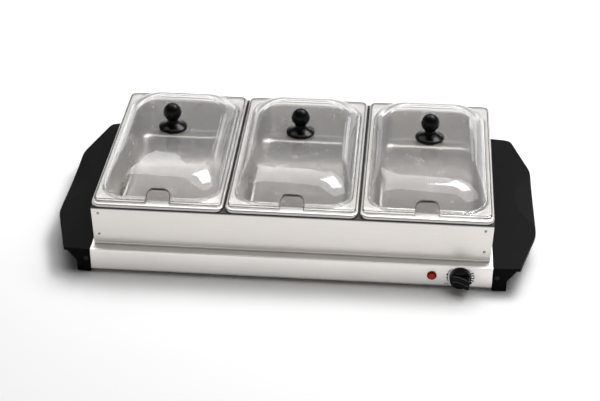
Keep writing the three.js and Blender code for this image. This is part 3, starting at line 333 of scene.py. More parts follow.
@dataclass(frozen=True)
class DrawnSteel(Finish):
    """Deep-drawn steel: a satin rim, a well darkened as painted shade, fine scuffs, slow waves,
    faint water marks.
    """

    well: Colour
    rim: Colour
    roughness: float
    rim_roughness: float = 0.34
    rim_foot: float = 0.099
    rim_top: float = 0.1025
    mark_shade: float = 0.94
    wave_depth: float = 0.007
    waves: Noise = Noise(1, 1, 0.4, (11, 6, 9))
    scuffs: Noise = Noise(1, 3, 0.6, (420, 60, 240))
    marks: Noise = Noise(55, 4, 0.6)

    def cover(self, paint: Paint) -> None:
        """Feeds the shader."""
        scuffs = paint.noise(self.scuffs)
        marks = paint.share(paint.noise(self.marks), 0.52, 0.62)
        rim = paint.share(paint.height(), self.rim_foot, self.rim_top)
        # the well's colour, darker than the rim's, is painted shade inside the pan
        well = paint.shades(marks, self.well, 1, self.mark_shade)
        edge = paint.shades(marks, self.rim, 1, self.mark_shade)
        rougher = rim * (self.rim_roughness - self.roughness)
        paint.feed(paint.shader, {
            "Base Color": paint.blend(rim, well, edge),
            "Metallic": 1.0,
            "Roughness": rougher + scuffs * 0.06 + marks * 0.04 + (self.roughness - 0.04),
        })
        height = paint.noise(self.waves) + scuffs * 0.003
        paint.bump(height * (1 - rim), self.wave_depth, strength=0.25)


@dataclass(frozen=True)
class MouldedPlastic(Finish):
    """Dark moulded plastic with a fine etched grain, slight sheen differences and dust."""

    colour: Colour
    roughness: float
    grain_scale: float = 1400.0
    grain_depth: float = 0.00006
    specular: float = 0.5
    dust_colour: Colour = (0.4, 0.4, 0.4)
    dust_share: float = 0.05
    flow: Noise = Noise(18, 3, 0.5)
    dust: Noise = Noise(900, 2, 0.5)

    def cover(self, paint: Paint) -> None:
        """Feeds the shader."""
        grain, flow = paint.noise(Noise(self.grain_scale, 2, 0.6)), paint.noise(self.flow)
        dust = paint.share(paint.noise(self.dust), 0.68, 0.8)
        shade = paint.shades(flow, self.colour, 0.85, 1.2)
        paint.feed(paint.shader, {
            "Base Color": paint.blend(dust * self.dust_share, shade, self.dust_colour),
            "Roughness": grain * 0.10 + flow * 0.08 + (self.roughness - 0.09),
            "Specular IOR Level": self.specular,
        })
        paint.bump(grain, self.grain_depth, strength=0.5)


@dataclass(frozen=True)
class ClearPlastic(Finish):
    """Clear moulded sheet that bends light at its faces and casts hardly any shadow."""

    tint: Colour
    index: float = 1.38
    clarity: float = 0.95
    smears: Noise = Noise(1, 4, 0.55, (14, 9, 14))
    ripple_depth: float = 0.003
    ripple: Noise = Noise(1, 1, 0.3, (5, 3, 5))

    def cover(self, paint: Paint) -> None:
        """Feeds the shader."""
        smears = paint.noise(self.smears)
        paint.feed(paint.shader, {
            "Base Color": paint.shades(smears, self.tint, 1, 1.03),
            "Roughness": smears * 0.05 + 0.01,
            "IOR": self.index,
            "Transmission Weight": self.clarity,
        })
        paint.bump(paint.noise(self.ripple), self.ripple_depth, strength=0.3)
        clear = {"Color": self.tint}
        paint.replace_where(paint.rays("Shadow"), "ShaderNodeBsdfTransparent", clear)


@dataclass(frozen=True)
class Lens(Finish):
    """Translucent coloured lens: a middle made brighter as painted glow, a deep rim, moulded rings.
    """

    middle: Colour
    rim: Colour
    painted_glow_radius: float = 0.0034
    rim_radius: float = 0.0056
    ring_scale: float = 260.0
    ring_depth: float = 0.0003
    specks: Noise = Noise(600, 2, 0.5)

    def cover(self, paint: Paint) -> None:
        """Feeds the shader."""
        centre = middle_of(*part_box("pilot_lens"))
        spot = paint.place((1, 0, 1), move=(-centre[0], 0, -centre[2]))
        specks = paint.noise(self.specks)
        outward = paint.share(paint.distance(spot), self.painted_glow_radius, self.rim_radius)
        # painted glow: the middle is made brighter, fading out to the deep rim
        painted_glow = paint.shades(specks, self.middle, 0.8, 1.25)
        paint.feed(paint.shader, {
            "Base Color": paint.blend(outward, painted_glow, self.rim),
            "Roughness": specks * 0.1 + 0.2,
            "Specular IOR Level": 0.15,
        })
        rings = paint.wave(spot, self.ring_scale, wave_type="RINGS", rings_direction="SPHERICAL")
        paint.bump(rings, self.ring_depth, strength=0.5)


@dataclass(frozen=True)
class Mottled(Finish):
    """A finish for inner and small pieces: one tone over another in soft blotches, with tooth."""

    light: Colour
    dark: Colour
    roughness: float
    metallic: float = 0.0
    scale: float = 120.0
    depth: float = 0.00005
    alpha: float = 1.0
    tooth: float = 8.0  # its scale, as a multiple of the blotches'

    def cover(self, paint: Paint) -> None:
        """Feeds the shader."""
        blotches = paint.noise(Noise(self.scale, 4, 0.6))
        paint.feed(paint.shader, {
            "Base Color": paint.blend(blotches, self.dark, self.light),
            "Metallic": self.metallic,
            "Roughness": blotches * 0.14 + (self.roughness - 0.07),
            "Alpha": self.alpha,
        })
        tooth = paint.noise(Noise(self.scale * self.tooth, 2, 0.6))
        paint.bump(tooth, self.depth, strength=0.5)


@dataclass(frozen=True)
class WovenSleeve(Finish):
    """Braided sleeve of the inner wires: two crossed families of fine threads."""

    colour: Colour
    lean: float = 0.8
    thread_scale: float = 900.0
    thread_depth: float = 0.0001

    def cover(self, paint: Paint) -> None:
        """Feeds the shader."""
        there, back = (
            paint.wave(paint.place(turn=(lean, 0, lean)), self.thread_scale, bands_direction="X")
            for lean in (self.lean, -self.lean)
        )
        weave = there * back
        paint.feed(paint.shader, {
            "Base Color": paint.shades(weave, self.colour, 0.5, 1.3),
            "Roughness": weave * 0.2 + 0.7,
        })
        paint.bump(weave, self.thread_depth, strength=0.8)


def dress_nodes(nodes: dict[str, Object], finishes: dict[str, Material],
                record: dict[str, Any]) -> None:
    """Puts each CAD node's finish into its material slots.

    Args:
        nodes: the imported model's objects by node name.
        finishes: material by the record's slot name.
        record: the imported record, which says which slot each node has.
    """
    for entry in record["subparts"]:
        target = nodes[entry["node"]]
        target.data.materials.clear()
        target.data.materials.append(finishes[entry["material_slot"]])
    log.info("%d CAD nodes dressed", len(record["subparts"]))


# ---- Surfaces


def smooth_line(knots: np.ndarray, steps: int) -> np.ndarray:
    """A smooth line through knots.

    Between two knots each coordinate is the Catmull-Rom cubic: half of 2b + (c - a)t +
    (2a - 5b + 4c - d)t^2 + (3b - a - 3c + d)t^3, with a, b, c, d the four nearest knots.

    Args:
        knots: array of shape (count, dimensions).
        steps: points for each stretch between two knots.

    Returns:
        Array of shape ((count - 1) * steps + 1, dimensions).
    """
    padded = np.vstack([2 * knots[:1] - knots[1:2], knots, 2 * knots[-1:] - knots[-2:-1]])
    t = np.linspace(0, 1, steps, endpoint=False)[None, :, None]
    a, b, c, d = (padded[i : i + len(knots) - 1][:, None, :] for i in range(4))
    square, cube = 2 * a - 5 * b + 4 * c - d, 3 * b - a - 3 * c + d
    line = 0.5 * (2 * b + (c - a) * t + square * t**2 + cube * t**3)
    return np.vstack([line.reshape(-1, knots.shape[1]), knots[-1:]])


def rounded_rings(rows: np.ndarray, per_corner: int) -> np.ndarray:
    """Rounded rectangles stacked one over the other.

    Each ring's point at angle a of a quadrant is (sx(hx - cx) + cx cos a, sy(hy - cy) + cy sin a,
    z), with sx and sy the signs of the quadrant.

    Args:
        rows: (half width hx, half depth hy, corner radius along X cx, along Y cy, height z) of
            each ring.
        per_corner: steps in each corner.

    Returns:
        Array of shape (rings, points, 3), anticlockwise seen from above.
    """
    quadrant = np.repeat(np.arange(4), per_corner + 1)
    angle = (quadrant + np.tile(np.linspace(0, 1, per_corner + 1), 4)) * (math.pi / 2)
    sign_x = np.array([1, -1, -1, 1])[quadrant]
    sign_y = np.array([1, 1, -1, -1])[quadrant]
    hx, hy, cx, cy, z = (column[:, None] for column in rows.T)
    x = sign_x * (hx - cx) + cx * np.cos(angle)
    y = sign_y * (hy - cy) + cy * np.sin(angle)
    return np.stack([x, y, z + np.zeros_like(x)], axis=2)


def even_rings(half_x: np.ndarray, half_y: np.ndarray, corner: np.ndarray, height: np.ndarray,
               per_corner: int) -> np.ndarray:
    """Rounded rectangles whose corners are parts of circles, as in rounded_rings."""
    return rounded_rings(np.stack([half_x, half_y, corner, corner, height], axis=1), per_corner)


def lathe_rings(profile: np.ndarray, facets: int) -> np.ndarray:
    """A profile turned about Z: the point at angle a is (r cos a, r sin a, z).

    Args:
        profile: (radius r, height z) rows, in shape (count, 2).
        facets: facets round the axis.

    Returns:
        Array of shape (count, facets, 3).
    """
    angle = np.arange(facets) * (2 * math.pi / facets)
    r, z = profile[:, :1], profile[:, 1:]
    return np.stack([r * np.cos(angle), r * np.sin(angle), z + 0 * angle], axis=2)


def along_y(outline: np.ndarray, ends: Sequence[float]) -> np.ndarray:
    """Rings of an (x, z) outline carried along Y, one at each end, in shape (ends, points, 3)."""
    x, z = (np.tile(column, (len(ends), 1)) for column in outline.T)
    return np.stack([x, np.array(ends)[:, None] + 0 * x, z], axis=2)


def middle_of(low: Vector, high: Vector) -> np.ndarray:
    """The middle of a box, from its lowest and highest corners."""
    return (np.array(low) + np.array(high)) / 2


def falls(steps: int) -> tuple[np.ndarray, np.ndarray]:
    """1 - sin a and 1 - cos a, to round an edge by, at angles a from 0 to a right angle."""
    angle = np.linspace(0, math.pi / 2, steps)
    return 1 - np.sin(angle), 1 - np.cos(angle)


def ring_mesh(name: str, rings: np.ndarray, sharp: float = SHARP) -> Object:
    """A closed skin over stacked rings, with a flat face on the first and the last.

    Quads join point j of ring i with point j + 1, and the last point with the first.

    Args:
        name: the piece's name.
        rings: array of shape (rings, points, 3).
        sharp: edges turned by more than this angle stay sharp.

    Returns:
        The object, with its place in its mesh.
    """
    count, points = rings.shape[:2]
    index = np.arange(count * points).reshape(count, points)
    here, over = index[:-1], index[1:]
    quads = np.stack([here, np.roll(here, -1, 1), np.roll(over, -1, 1), over], axis=2)
    faces = quads.reshape(-1, 4).tolist() + [index[0, ::-1].tolist(), index[-1].tolist()]
    mesh = bpy.data.meshes.new(name)
    mesh.from_pydata(rings.reshape(-1, 3).tolist(), [], faces)
    return finished(name, mesh, sharp)


def finished(name: str, mesh: Mesh, sharp: float) -> Object:
    """Merges a mesh's doubles, points its faces outwards, smooths it and makes its object."""
    work = bmesh.new()
    work.from_mesh(mesh)
    bmesh.ops.remove_doubles(work, verts=work.verts, dist=SAME_PLACE)
    bmesh.ops.dissolve_degenerate(work, edges=work.edges, dist=SLIVER)
    bmesh.ops.recalc_face_normals(work, faces=work.faces)
    work.to_mesh(mesh)
    work.free()
    smooth(mesh, sharp)
    return in_scene(bpy.data.objects.new(name, mesh))


def in_scene(made: Object) -> Object:
    """Links a new object to the scene and gives it back."""
    bpy.context.scene.collection.objects.link(made)
    return made


def smooth(mesh: Mesh, sharp: float) -> None:
    """Smooths a mesh but for the edges turned by more than an angle."""
    mesh.polygons.foreach_set("use_smooth", np.ones(len(mesh.polygons), bool))
    mesh.set_sharp_from_angle(angle=sharp)
    mesh.update()


def carve(target: Object, tool: Object, operation: str = "DIFFERENCE") -> None:
    """Works a tool's volume into a target's mesh.

    Args:
        target: the piece to change.
        tool: the volume to take away, to keep or to add.
        operation: the Boolean modifier's operation.
    """
    step = target.modifiers.new("carve", "BOOLEAN")
    step.operation, step.solver, step.object = operation, "EXACT", tool
    settle(target, SHARP)


def settle(target: Object, sharp: float) -> None:
    """Applies a piece's modifiers to its mesh and marks its sharp edges."""
    view = bpy.context.evaluated_depsgraph_get()
    mesh = bpy.data.meshes.new_from_object(target.evaluated_get(view))
    target.modifiers.clear()
    target.data = mesh
    smooth(mesh, sharp)


def hand_over(piece: Object, body: str, material: Material, slot: Slot, *nodes: str) -> None:
    """Dresses a finished piece, lets it ride on a body and stand for CAD nodes.

    Args:
        piece: the finished piece.
        body: the body it rides on.
        material: its finish.
        slot: the record's slot it takes its finish from; not used.
        nodes: the CAD nodes that it replaces.
    """
    piece.data.materials.append(material)
    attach(piece, body)
    if nodes:
        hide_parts(*nodes)
    log.info("%s: %d faces on %s", piece.name, len(piece.data.polygons), body)


# ---- Pans


@dataclass
class Pan:
    """A drawn pan: flat floor, floor radius, leaning wall, flat rim with a rolled edge."""

    station: Station
    side_flange: float = 9.0 * MM
    end_flange: float = 17.5 * MM
    corner: float = 35.0 * MM
    rim_corner: float = 12.0 * MM
    entry: float = 2.5 * MM
    floor_radius: float = 15.0 * MM
    draft: float = 6.0 * MM
    depth: float = 61.3 * MM
    sheet: float = 0.7 * MM
    roll: float = 1.9 * MM
    tuck: float = 1.3 * MM
    rim_height: float = 5.0 * MM
    side_inset: float = 0.5 * MM
    per_corner: int = 14
    arc_steps: int = 8

    def build(self, material: Material) -> None:
        """Builds the pan around its CAD node's box and replaces the node."""
        name = f"pan_{self.station.value}"
        low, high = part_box(name)
        rim_x, rim_y = (high.x - low.x) / 2, (high.y - low.y) / 2
        well = self._well(high.z)
        drop, level = self._rim(high.z, high.z - self.rim_height).T
        inset = drop + self.side_inset
        rings = np.concatenate([
            self._well_rings(rim_x, rim_y, well),
            even_rings(rim_x - inset, rim_y - drop, self.rim_corner - drop, level, self.per_corner),
            self._well_rings(rim_x, rim_y, well[::-1] + np.array([self.sheet, -self.sheet])),
        ])
        rings[:, :, :2] += middle_of(low, high)[:2]
        piece = ring_mesh(f"drawn_pan_{self.station.value}", rings)
        hand_over(piece, name, material, Slot.PAN_STEEL, name)

    def _well_rings(self, rim_x: float, rim_y: float, profile: np.ndarray) -> np.ndarray:
        """Carries a (growth, height) profile round the pan's opening."""
        grow, height = profile.T
        open_x, open_y = rim_x - self.side_flange, rim_y - self.end_flange
        return even_rings(open_x + grow, open_y + grow, self.corner + grow, height, self.per_corner)

    def _well(self, top: float) -> np.ndarray:
        """(growth, height) from the floor up to the rim: two quarter circles joined by a wall."""
        floor = top - self.depth
        flat, steep = falls(self.arc_steps)
        radius = self.floor_radius
        low = np.stack([-self.draft - radius * flat, floor + radius * steep], axis=1)
        high = np.stack([self.entry * steep, top - self.entry * flat], axis=1)
        return np.vstack([low, high])

    def _rim(self, top: float, bottom: float) -> np.ndarray:
        """(inset, height) over the rolled edge, round its foot and back up under it."""
        flat, steep = falls(self.arc_steps)
        roll, inner = self.roll, self.roll - self.sheet
        over = np.stack([roll * flat, top - roll * steep], axis=1)
        under = np.stack([self.sheet + inner * steep, top - roll + inner * (1 - flat)], axis=1)
        foot = np.stack([self.tuck * steep, bottom + self.tuck * flat], axis=1)
        back = foot[::-1] + np.array([self.sheet, 0])
        return np.vstack([over, foot, back, under[::-1]])


# ---- Lids


@dataclass
class Lid:
    """A clear domed lid: flat flange, locating lip, leaning walls, arched crown, spoon notch.

    The crown falls towards its sides by crown_fall times the square of the share of its half
    width, weighted by the height above the flange.
    """

    station: Station
    flange: float = 2.0 * MM
    skirt: float = 1.8 * MM
    skirt_width: float = 2.2 * MM
    wall: float = 2.0 * MM
    edge_corner: float = 9.0 * MM
    base_corner: float = 36.0 * MM
    lip: float = 3.3 * MM
    edge_to_base_x: float = 7.4 * MM
    edge_to_base_y: float = 9.9 * MM
    shoulder_x: float = 18.0 * MM
    shoulder_y: float = 44.0 * MM
    corner_growth: float = 26.0 * MM
    wall_knots: tuple[tuple[float, float], ...] = (  # shares of the shoulder and of the rise
        (0, 0), (0.05, 0.12), (0.16, 0.34), (0.33, 0.56), (0.6, 0.79), (0.85, 0.89), (1, 0.92),
    )
    seat: float = 23.0 * MM
    seat_roundness: float = 0.999  # a corner's radius, as a share of the seat's
    notch_width: float = 33.0 * MM
    notch_rise: float = 7.8 * MM
    notch_corner: float = 8.0 * MM
    bevel: float = 1.2 * MM
    crown_fall: float = 3.5 * MM
    crown_power: float = 1.6
    shade_band_width: float = 0.6 * MM
    overrun: float = 2.0 * MM
    level_within: float = 0.1 * MM
    faces_down: float = -0.9  # a normal's Z below this points down
    per_corner: int = 14
    steps: int = 5
    notch_steps: int = 8

    def build(self, material: Material, shade_material: Material) -> None:
        """Builds the lid around its CAD node's box and replaces the node.

        Args:
            material: the clear sheet.
            shade_material: dark painted shade on the notch's cut faces and on the skirt's downward
                foot faces.
        """
        name = f"lid_{self.station.value}"
        low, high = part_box(name)
        edge_x, edge_y = (high.x - low.x) / 2, (high.y - low.y) / 2
        base_x, base_y = edge_x - self.edge_to_base_x, edge_y - self.edge_to_base_y
        skirt_bottom = low.z + self.lip
        flange_bottom = skirt_bottom + self.skirt
        flange_top = flange_bottom + self.flange
        rise = high.z - flange_top
        outer = self._dome(base_x, base_y, flange_top, rise)
        inner = self._dome(base_x - self.wall, base_y - self.wall, flange_bottom, rise)[::-1]
        edge = np.array([edge_x, edge_y, self.edge_corner, self.edge_corner])
        base = np.array([base_x, base_y, self.base_corner, self.base_corner])
        inset, (flat, steep) = self.skirt_width, self.bevel * np.array(falls(self.steps))
        round_edge = np.column_stack([edge - flat[:, None], flange_top - steep])
        foot = np.array([
            [*edge, skirt_bottom],
            [*(edge - inset), skirt_bottom],
            [*(edge - inset), flange_bottom],
            [*base, flange_bottom],
            [*base, low.z],
            [*(base - self.wall), low.z],
        ])
        rings = rounded_rings(np.vstack([outer, round_edge, foot, inner]), self.per_corner)
        above = np.clip((rings[:, :, 2] - flange_top) / rise, 0, 1)
        across = np.clip(np.abs(rings[:, :, 0]) / (base_x - self.shoulder_x), 0, 1)
        rings[:, :, 2] -= self.crown_fall * across**2 * above
        centre = middle_of(low, high)
        rings[:, :, :2] += centre[:2]
        piece = ring_mesh(f"clear_lid_{self.station.value}", rings)
        # the notch's cut faces get a dark strip of their own: painted shade
        notch, shade_band = (self._notch(centre, edge_y, low.z, flange_top, wider)
                       for wider in (0.0, self.shade_band_width))
        strip = in_scene(piece.copy())
        strip.name = f"notch_shade_{self.station.value}"
        carve(strip, shade_band, "INTERSECT")
        carve(strip, notch)
        carve(piece, shade_band)
        for tool in (notch, shade_band):
            bpy.data.objects.remove(tool)
        hand_over(strip, name, shade_material, Slot.CLEAR_PLASTIC)
        hand_over(piece, name, material, Slot.CLEAR_PLASTIC, name)
        piece.data.materials.append(shade_material)
        # painted shade on the faces under the skirt's foot, where the lid sits on the rim
        self._shade_foot(piece.data, skirt_bottom)

    def _shade_foot(self, mesh: Mesh, height: float) -> None:
        """Gives the second material, dark painted shade, to the faces at a height that point down.
        """
        count = len(mesh.polygons)
        centres, normals = np.empty(count * 3), np.empty(count * 3)
        index = np.empty(count, np.int32)
        mesh.polygons.foreach_get("center", centres)
        mesh.polygons.foreach_get("normal", normals)
        mesh.polygons.foreach_get("material_index", index)
        level = np.abs(centres[2::3] - height) < self.level_within
        index[level & (normals[2::3] < self.faces_down)] = 1
        mesh.polygons.foreach_set("material_index", index)

    def _dome(self, base_x: float, base_y: float, bottom: float, rise: float) -> np.ndarray:
        """Rows of (half x, half y, corner x, corner y, height) from the crown down to the foot.

        The wall follows a smooth line through the wall's knots. The crown goes on to the small
        round seat of the knob: at share t of the way it has risen by 1 - (1 - t)^crown_power.
        """
        inset, share = smooth_line(np.array(self.wall_knots), self.steps).T
        side = np.stack([
            base_x - inset * self.shoulder_x,
            base_y - inset * self.shoulder_y,
            np.full_like(inset, self.base_corner),
            self.base_corner + inset * self.corner_growth,
            bottom + share * rise,
        ], axis=1)
        last = side[-1]
        t = np.linspace(0, 1, self.steps * 2)[1:]
        corner = self.seat * self.seat_roundness
        seat = np.array([self.seat, self.seat, corner, corner, bottom + rise])
        crown = last + (seat - last) * t[:, None]
        crown[:, 4] = last[4] + (seat[4] - last[4]) * (1 - (1 - t) ** self.crown_power)
        return np.vstack([side, crown])[::-1]

    def _notch(self, centre: np.ndarray, edge_y: float, lip_bottom: float, flange_top: float,
               wider: float) -> Object:
        """The spoon notch's tool: an arch outline, made wider all round, carried into the dome."""
        half, top = self.notch_width / 2 + wider, flange_top + self.notch_rise + wider
        radius = self.notch_corner + wider
        flat, steep = falls(self.notch_steps)
        right = np.array([half, top]) - radius * np.stack([steep, flat], axis=1)
        below = lip_bottom - self.overrun
        mirror = np.array([-1, 1])
        outline = np.vstack([[[half, below]], right, right[::-1] * mirror, [[-half, below]]])
        ends = (centre[1] - edge_y - self.overrun, centre[1] - self.seat)
        return ring_mesh("notch_tool", along_y(outline + np.array([centre[0], 0]), ends))


@dataclass
class LidKnob:
    """A turned knob: flared foot, slim neck, ball."""

    station: Station
    foot: float = 19.4 * MM
    flange: float = 20.9 * MM
    neck: float = 7.8 * MM
    ball: float = 13.5 * MM
    bore: float = 2.3 * MM
    foot_flare: float = 1.0 * MM
    foot_edge: float = 0.4 * MM
    sharp: float = math.radians(50)
    skirt_heights: tuple[float, ...] = (0.045, 0.10, 0.14, 0.19, 0.25, 0.31, 0.37)
    skirt_spreads: tuple[float, ...] = (1.0, 0.99, 0.8, 0.46, 0.17, 0.02, 0.0)
    skirt_steps: int = 5
    ball_steps: int = 22
    facets: int = 56

    def build(self, material: Material) -> None:
        """Builds the knob around its CAD node's box and replaces the node."""
        name = f"lid_knob_{self.station.value}"
        low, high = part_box(name)
        middle = high.z - self.ball
        spread = self.neck + np.array(self.skirt_spreads) * (self.flange - self.neck)
        climb = low.z + np.array(self.skirt_heights) * (high.z - low.z)
        skirt = smooth_line(np.stack([spread, climb], axis=1), self.skirt_steps)
        turn = np.linspace(math.asin(self.neck / self.ball), math.pi, self.ball_steps)
        ball = np.stack([self.ball * np.sin(turn), middle - self.ball * np.cos(turn)], axis=1)
        edge = [self.foot + self.foot_flare, low.z + self.foot_edge]
        foot = np.array([[self.bore, low.z], [self.foot, low.z], edge])
        rings = lathe_rings(np.vstack([foot, skirt, ball]), self.facets)
        rings[:, :, :2] += middle_of(low, high)[:2]
        piece = ring_mesh(f"turned_knob_{self.station.value}", rings, self.sharp)
        hand_over(piece, f"lid_{self.station.value}", material, Slot.GLOSS_BLACK, name)


# ---- Control knob


@dataclass
class ControlKnob:
    """The thermostat's knob: a barrel with a grip that climbs towards its nose.

    It is drawn about its axis: u runs along the grip to the nose, v across it and w outwards.
    """

    turn: float = math.radians(-5)
    radius: float = 15.6 * MM
    draft: float = 0.7 * MM
    edge: float = 1.2 * MM
    clear: float = 0.6 * MM
    barrel: float = 9.5 * MM
    reach: float = 20.2 * MM
    half_grip: float = 8.4 * MM
    tail: float = 13.0 * MM
    knee: float = 3.0 * MM
    nose: float = 12.5 * MM
    ledge: float = 1.8 * MM
    bevel: float = 0.45 * MM
    line_half: float = 0.28 * MM
    line_lift: float = 0.08 * MM
    line_start: float = 2.0 * MM  # from the tail
    line_places: tuple[float, ...] = (6.5 * MM, -2.1 * MM)
    hub: float = 0.1 * MM  # radius of the flat middle of the barrel's ends
    sink: float = 1.0 * MM  # how far the grip reaches into the barrel
    rounding_from: float = math.radians(32)
    sharp: float = math.radians(40)
    edge_steps: int = 6
    tail_steps: int = 8
    climb_steps: int = 12
    facets: int = 72

    def build(self, material: Material) -> None:
        """Builds the knob around its CAD node's box and replaces the node."""
        flat, steep = falls(self.edge_steps)
        face = self.radius - self.draft
        profile = np.vstack([
            [[self.hub, self.clear], [self.radius, self.clear]],
            np.stack([face - self.edge * steep, self.barrel - self.edge * flat], axis=1),
            [[self.hub, self.barrel]],
        ])
        barrel = ring_mesh("barrel", self._out(lathe_rings(profile, self.facets)))
        grip = self._grip()
        carve(barrel, grip, "UNION")
        rounding = barrel.modifiers.new("edges", "BEVEL")
        rounding.width, rounding.segments = self.bevel, 2
        rounding.limit_method, rounding.angle_limit = "ANGLE", self.rounding_from
        settle(barrel, self.sharp)
        bpy.data.objects.remove(grip)
        barrel.name = "grip_knob"
        body = Body.THERMOSTAT_KNOB.value
        hand_over(barrel, body, material, Slot.GLOSS_BLACK, "control_knob")

    def build_lines(self, material: Material) -> None:
        """Lays two light lines along the grip's face: painted highlights for the lit edges of a
        groove.
        """
        u = np.array([self.line_start - self.tail, -self.knee, self.nose - self.bevel])
        w = self._face(u)[:, None] + self.line_lift * np.array([1, 1, -1, -1])
        pieces = []
        for place in self.line_places:
            v = place + self.line_half * np.array([-1, 1, 1, -1]) + 0 * w
            bar = np.stack([u[:, None] + 0 * w, v, w], axis=2)
            pieces.append(ring_mesh("line", self._out(bar)))
        lines = joined("grip_highlight_lines", pieces)
        hand_over(lines, Body.THERMOSTAT_KNOB.value, material, Slot.GLOSS_BLACK)

    def _face(self, u: np.ndarray) -> np.ndarray:
        """Height of the grip's face at u: a ledge, then a straight climb from knee to nose."""
        climb = (u + self.knee) / (self.nose + self.knee)
        start = self.barrel + self.ledge
        return start + np.clip(climb, 0, 1) * (self.reach - start)

    def _grip(self) -> Object:
        """The grip: sections across it, narrowed where the barrel's circle is narrower."""
        circle = self.radius - self.draft - self.edge
        ledge = np.linspace(-self.tail, -self.knee, self.tail_steps)
        climb = np.linspace(-self.knee, self.nose, self.climb_steps)
        u = np.concatenate([ledge, climb[1:]])
        half = np.minimum(self.half_grip, np.sqrt(np.maximum(circle**2 - u**2, 0)))
        face, foot = self._face(u), self.barrel - self.sink + 0 * u
        v = np.stack([-half, half, half, -half], axis=1)
        w = np.stack([face, face, foot, foot], axis=1)
        return ring_mesh("grip", self._out(np.stack([u[:, None] + 0 * v, v, w], axis=2)))

    def _out(self, places: np.ndarray) -> np.ndarray:
        """Turns (u, v, w) into the model's X, Y and Z, from the foot of the knob's axis."""
        low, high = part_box("control_knob")
        middle = middle_of(low, high)
        origin = np.array([middle[0], high.y + self.clear, middle[2]])
        u, v, w = np.moveaxis(places, -1, 0)
        c, s = math.cos(self.turn), math.sin(self.turn)
        return origin + np.stack([u * c - v * s, -w, u * s + v * c], axis=-1)


# ---- Front panel


@dataclass(frozen=True)
class DialMark:
    """A printed mark round the knob: between two angles in degrees and two radii in mm."""

    start: float
    end: float
    inner: float
    outer: float
    step: float = 4.0  # degrees from point to point

    def outline(self) -> np.ndarray:
        """Corners (x, z) about the knob's axis, along the outer arc and back along the inner."""
        count = 2 + int((self.end - self.start) / self.step)
        angle = np.radians(np.linspace(self.start, self.end, count))
        way = np.stack([np.cos(angle), np.sin(angle)], axis=1) * MM
        return np.vstack([self.outer * way, self.inner * way[::-1]])


@dataclass
class FrontPanel:
    """What is printed and fixed on the metal: the dial round the knob and the rack's weld spots."""

    marks: tuple[DialMark, ...] = tuple(DialMark(*row) for row in (
        (-9, 11.2, 18.8, 19.5),
        (17.6, 24.4, 15.0, 19.4),
        (5, 11.4, 15.6, 19.2),
        (-9.4, -2.8, 15.4, 19.6),
        (-22.2, -15.4, 15.2, 20.0),
        (-39, -27, 15.0, 19.4),
        (146, 208, 17.5, 18.6),
        (166.5, 175, 16.9, 19.6),
        (183, 192, 17.2, 19.2),
        (209.2, 212.6, 23.4, 24.8),
        (213.1, 216.9, 20.9, 22.3),
    ))
    mark_lift: float = 0.06 * MM
    mark_sink: float = 0.02 * MM
    foot: float = 1.8 * MM  # from the rack's outermost edge in to its panels' faces
    weld_inset: float = 10.5 * MM
    weld_heights: tuple[float, ...] = (15.2 * MM, 49.2 * MM)
    weld_radius: float = 2.0 * MM
    weld_rise: float = 0.8 * MM
    ring_width: float = 0.7 * MM
    ring_sink: float = 0.1 * MM
    ring_edge: float = 0.08 * MM
    ring_rise: float = 0.12 * MM
    ring_overlap: float = 0.9  # where the ring's slope ends, as a share of the dome's radius
    # the ring sits off the spot's centre, to the left and up: painted shade on one side
    ring_shade_shift: tuple[float, float] = (-0.6 * MM, 0.3 * MM)
    weld_facets: int = 16
    weld_steps: int = 5

    def build_marks(self, material: Material) -> None:
        """Prints the dial: a thin arc and dots on the cool side, ticks on the hot side."""
        axis = middle_of(*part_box("control_knob"))[[0, 2]]
        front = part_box("warming_tray")[0].y
        faces = (front + self.mark_sink, front - self.mark_lift)
        pieces = [ring_mesh("mark", along_y(mark.outline() + axis, faces)) for mark in self.marks]
        hand_over(joined("dial_marks", pieces), Body.BASE.value, material, Slot.GLOSS_BLACK)

    def build_welds(self, material: Material, ring_and_shade_material: Material) -> None:
        """Sets the weld spots at the ends of the rack's front and back panels.

        Each spot is a low dome, made lighter as a painted highlight, in a dark heat ring set off
        centre
        as painted shade: the point at radius share s stands out by rise (1 - s squared).

        Args:
            material: the spot, lighter than the rack's steel as a painted highlight.
            ring_and_shade_material: the heat ring round it, set off centre as painted shade.
        """
        low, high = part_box("rack_front_panel")
        _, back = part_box("rack_back_panel")
        share = np.linspace(1, 0, self.weld_steps)
        outer, inner = self.weld_radius, self.weld_radius - self.ring_width
        dome = np.stack([share * inner, self.weld_rise * (1 - share**2)], axis=1)
        ring = np.array([
            [outer, -self.ring_sink],
            [outer, self.ring_edge],
            [inner * self.ring_overlap, self.ring_rise],
            [0, self.ring_rise],
        ])
        columns = (low.x + self.weld_inset, high.x - self.weld_inset)
        rows = [low.z + height for height in self.weld_heights]
        faces = ((low.y + self.foot, -1), (back.y - self.foot, 1))
        for name, profile, shift, finish in (
            ("weld_spots", dome, (0, 0), material),
            ("weld_heat_and_shade_rings", ring, self.ring_shade_shift, ring_and_shade_material),
        ):
            u, v, w = np.moveaxis(lathe_rings(profile, self.weld_facets), 2, 0)
            u, v = u + shift[0], v + shift[1]
            pieces = [ring_mesh("spot", np.stack([x + u, y + way * w, z + v], axis=2))
                      for x, z, (y, way) in product(columns, rows, faces)]
            hand_over(joined(name, pieces), Body.RACK.value, finish, Slot.RACK_STEEL)


def joined(name: str, pieces: Sequence[Object]) -> Object:
    """Puts several finished meshes into one object."""
    work = bmesh.new()
    for piece in pieces:
        work.from_mesh(piece.data)
        bpy.data.objects.remove(piece)
    mesh = bpy.data.meshes.new(name)
    work.to_mesh(mesh)
    work.free()
    return finished(name, mesh, SHARP)


# ---- Studio


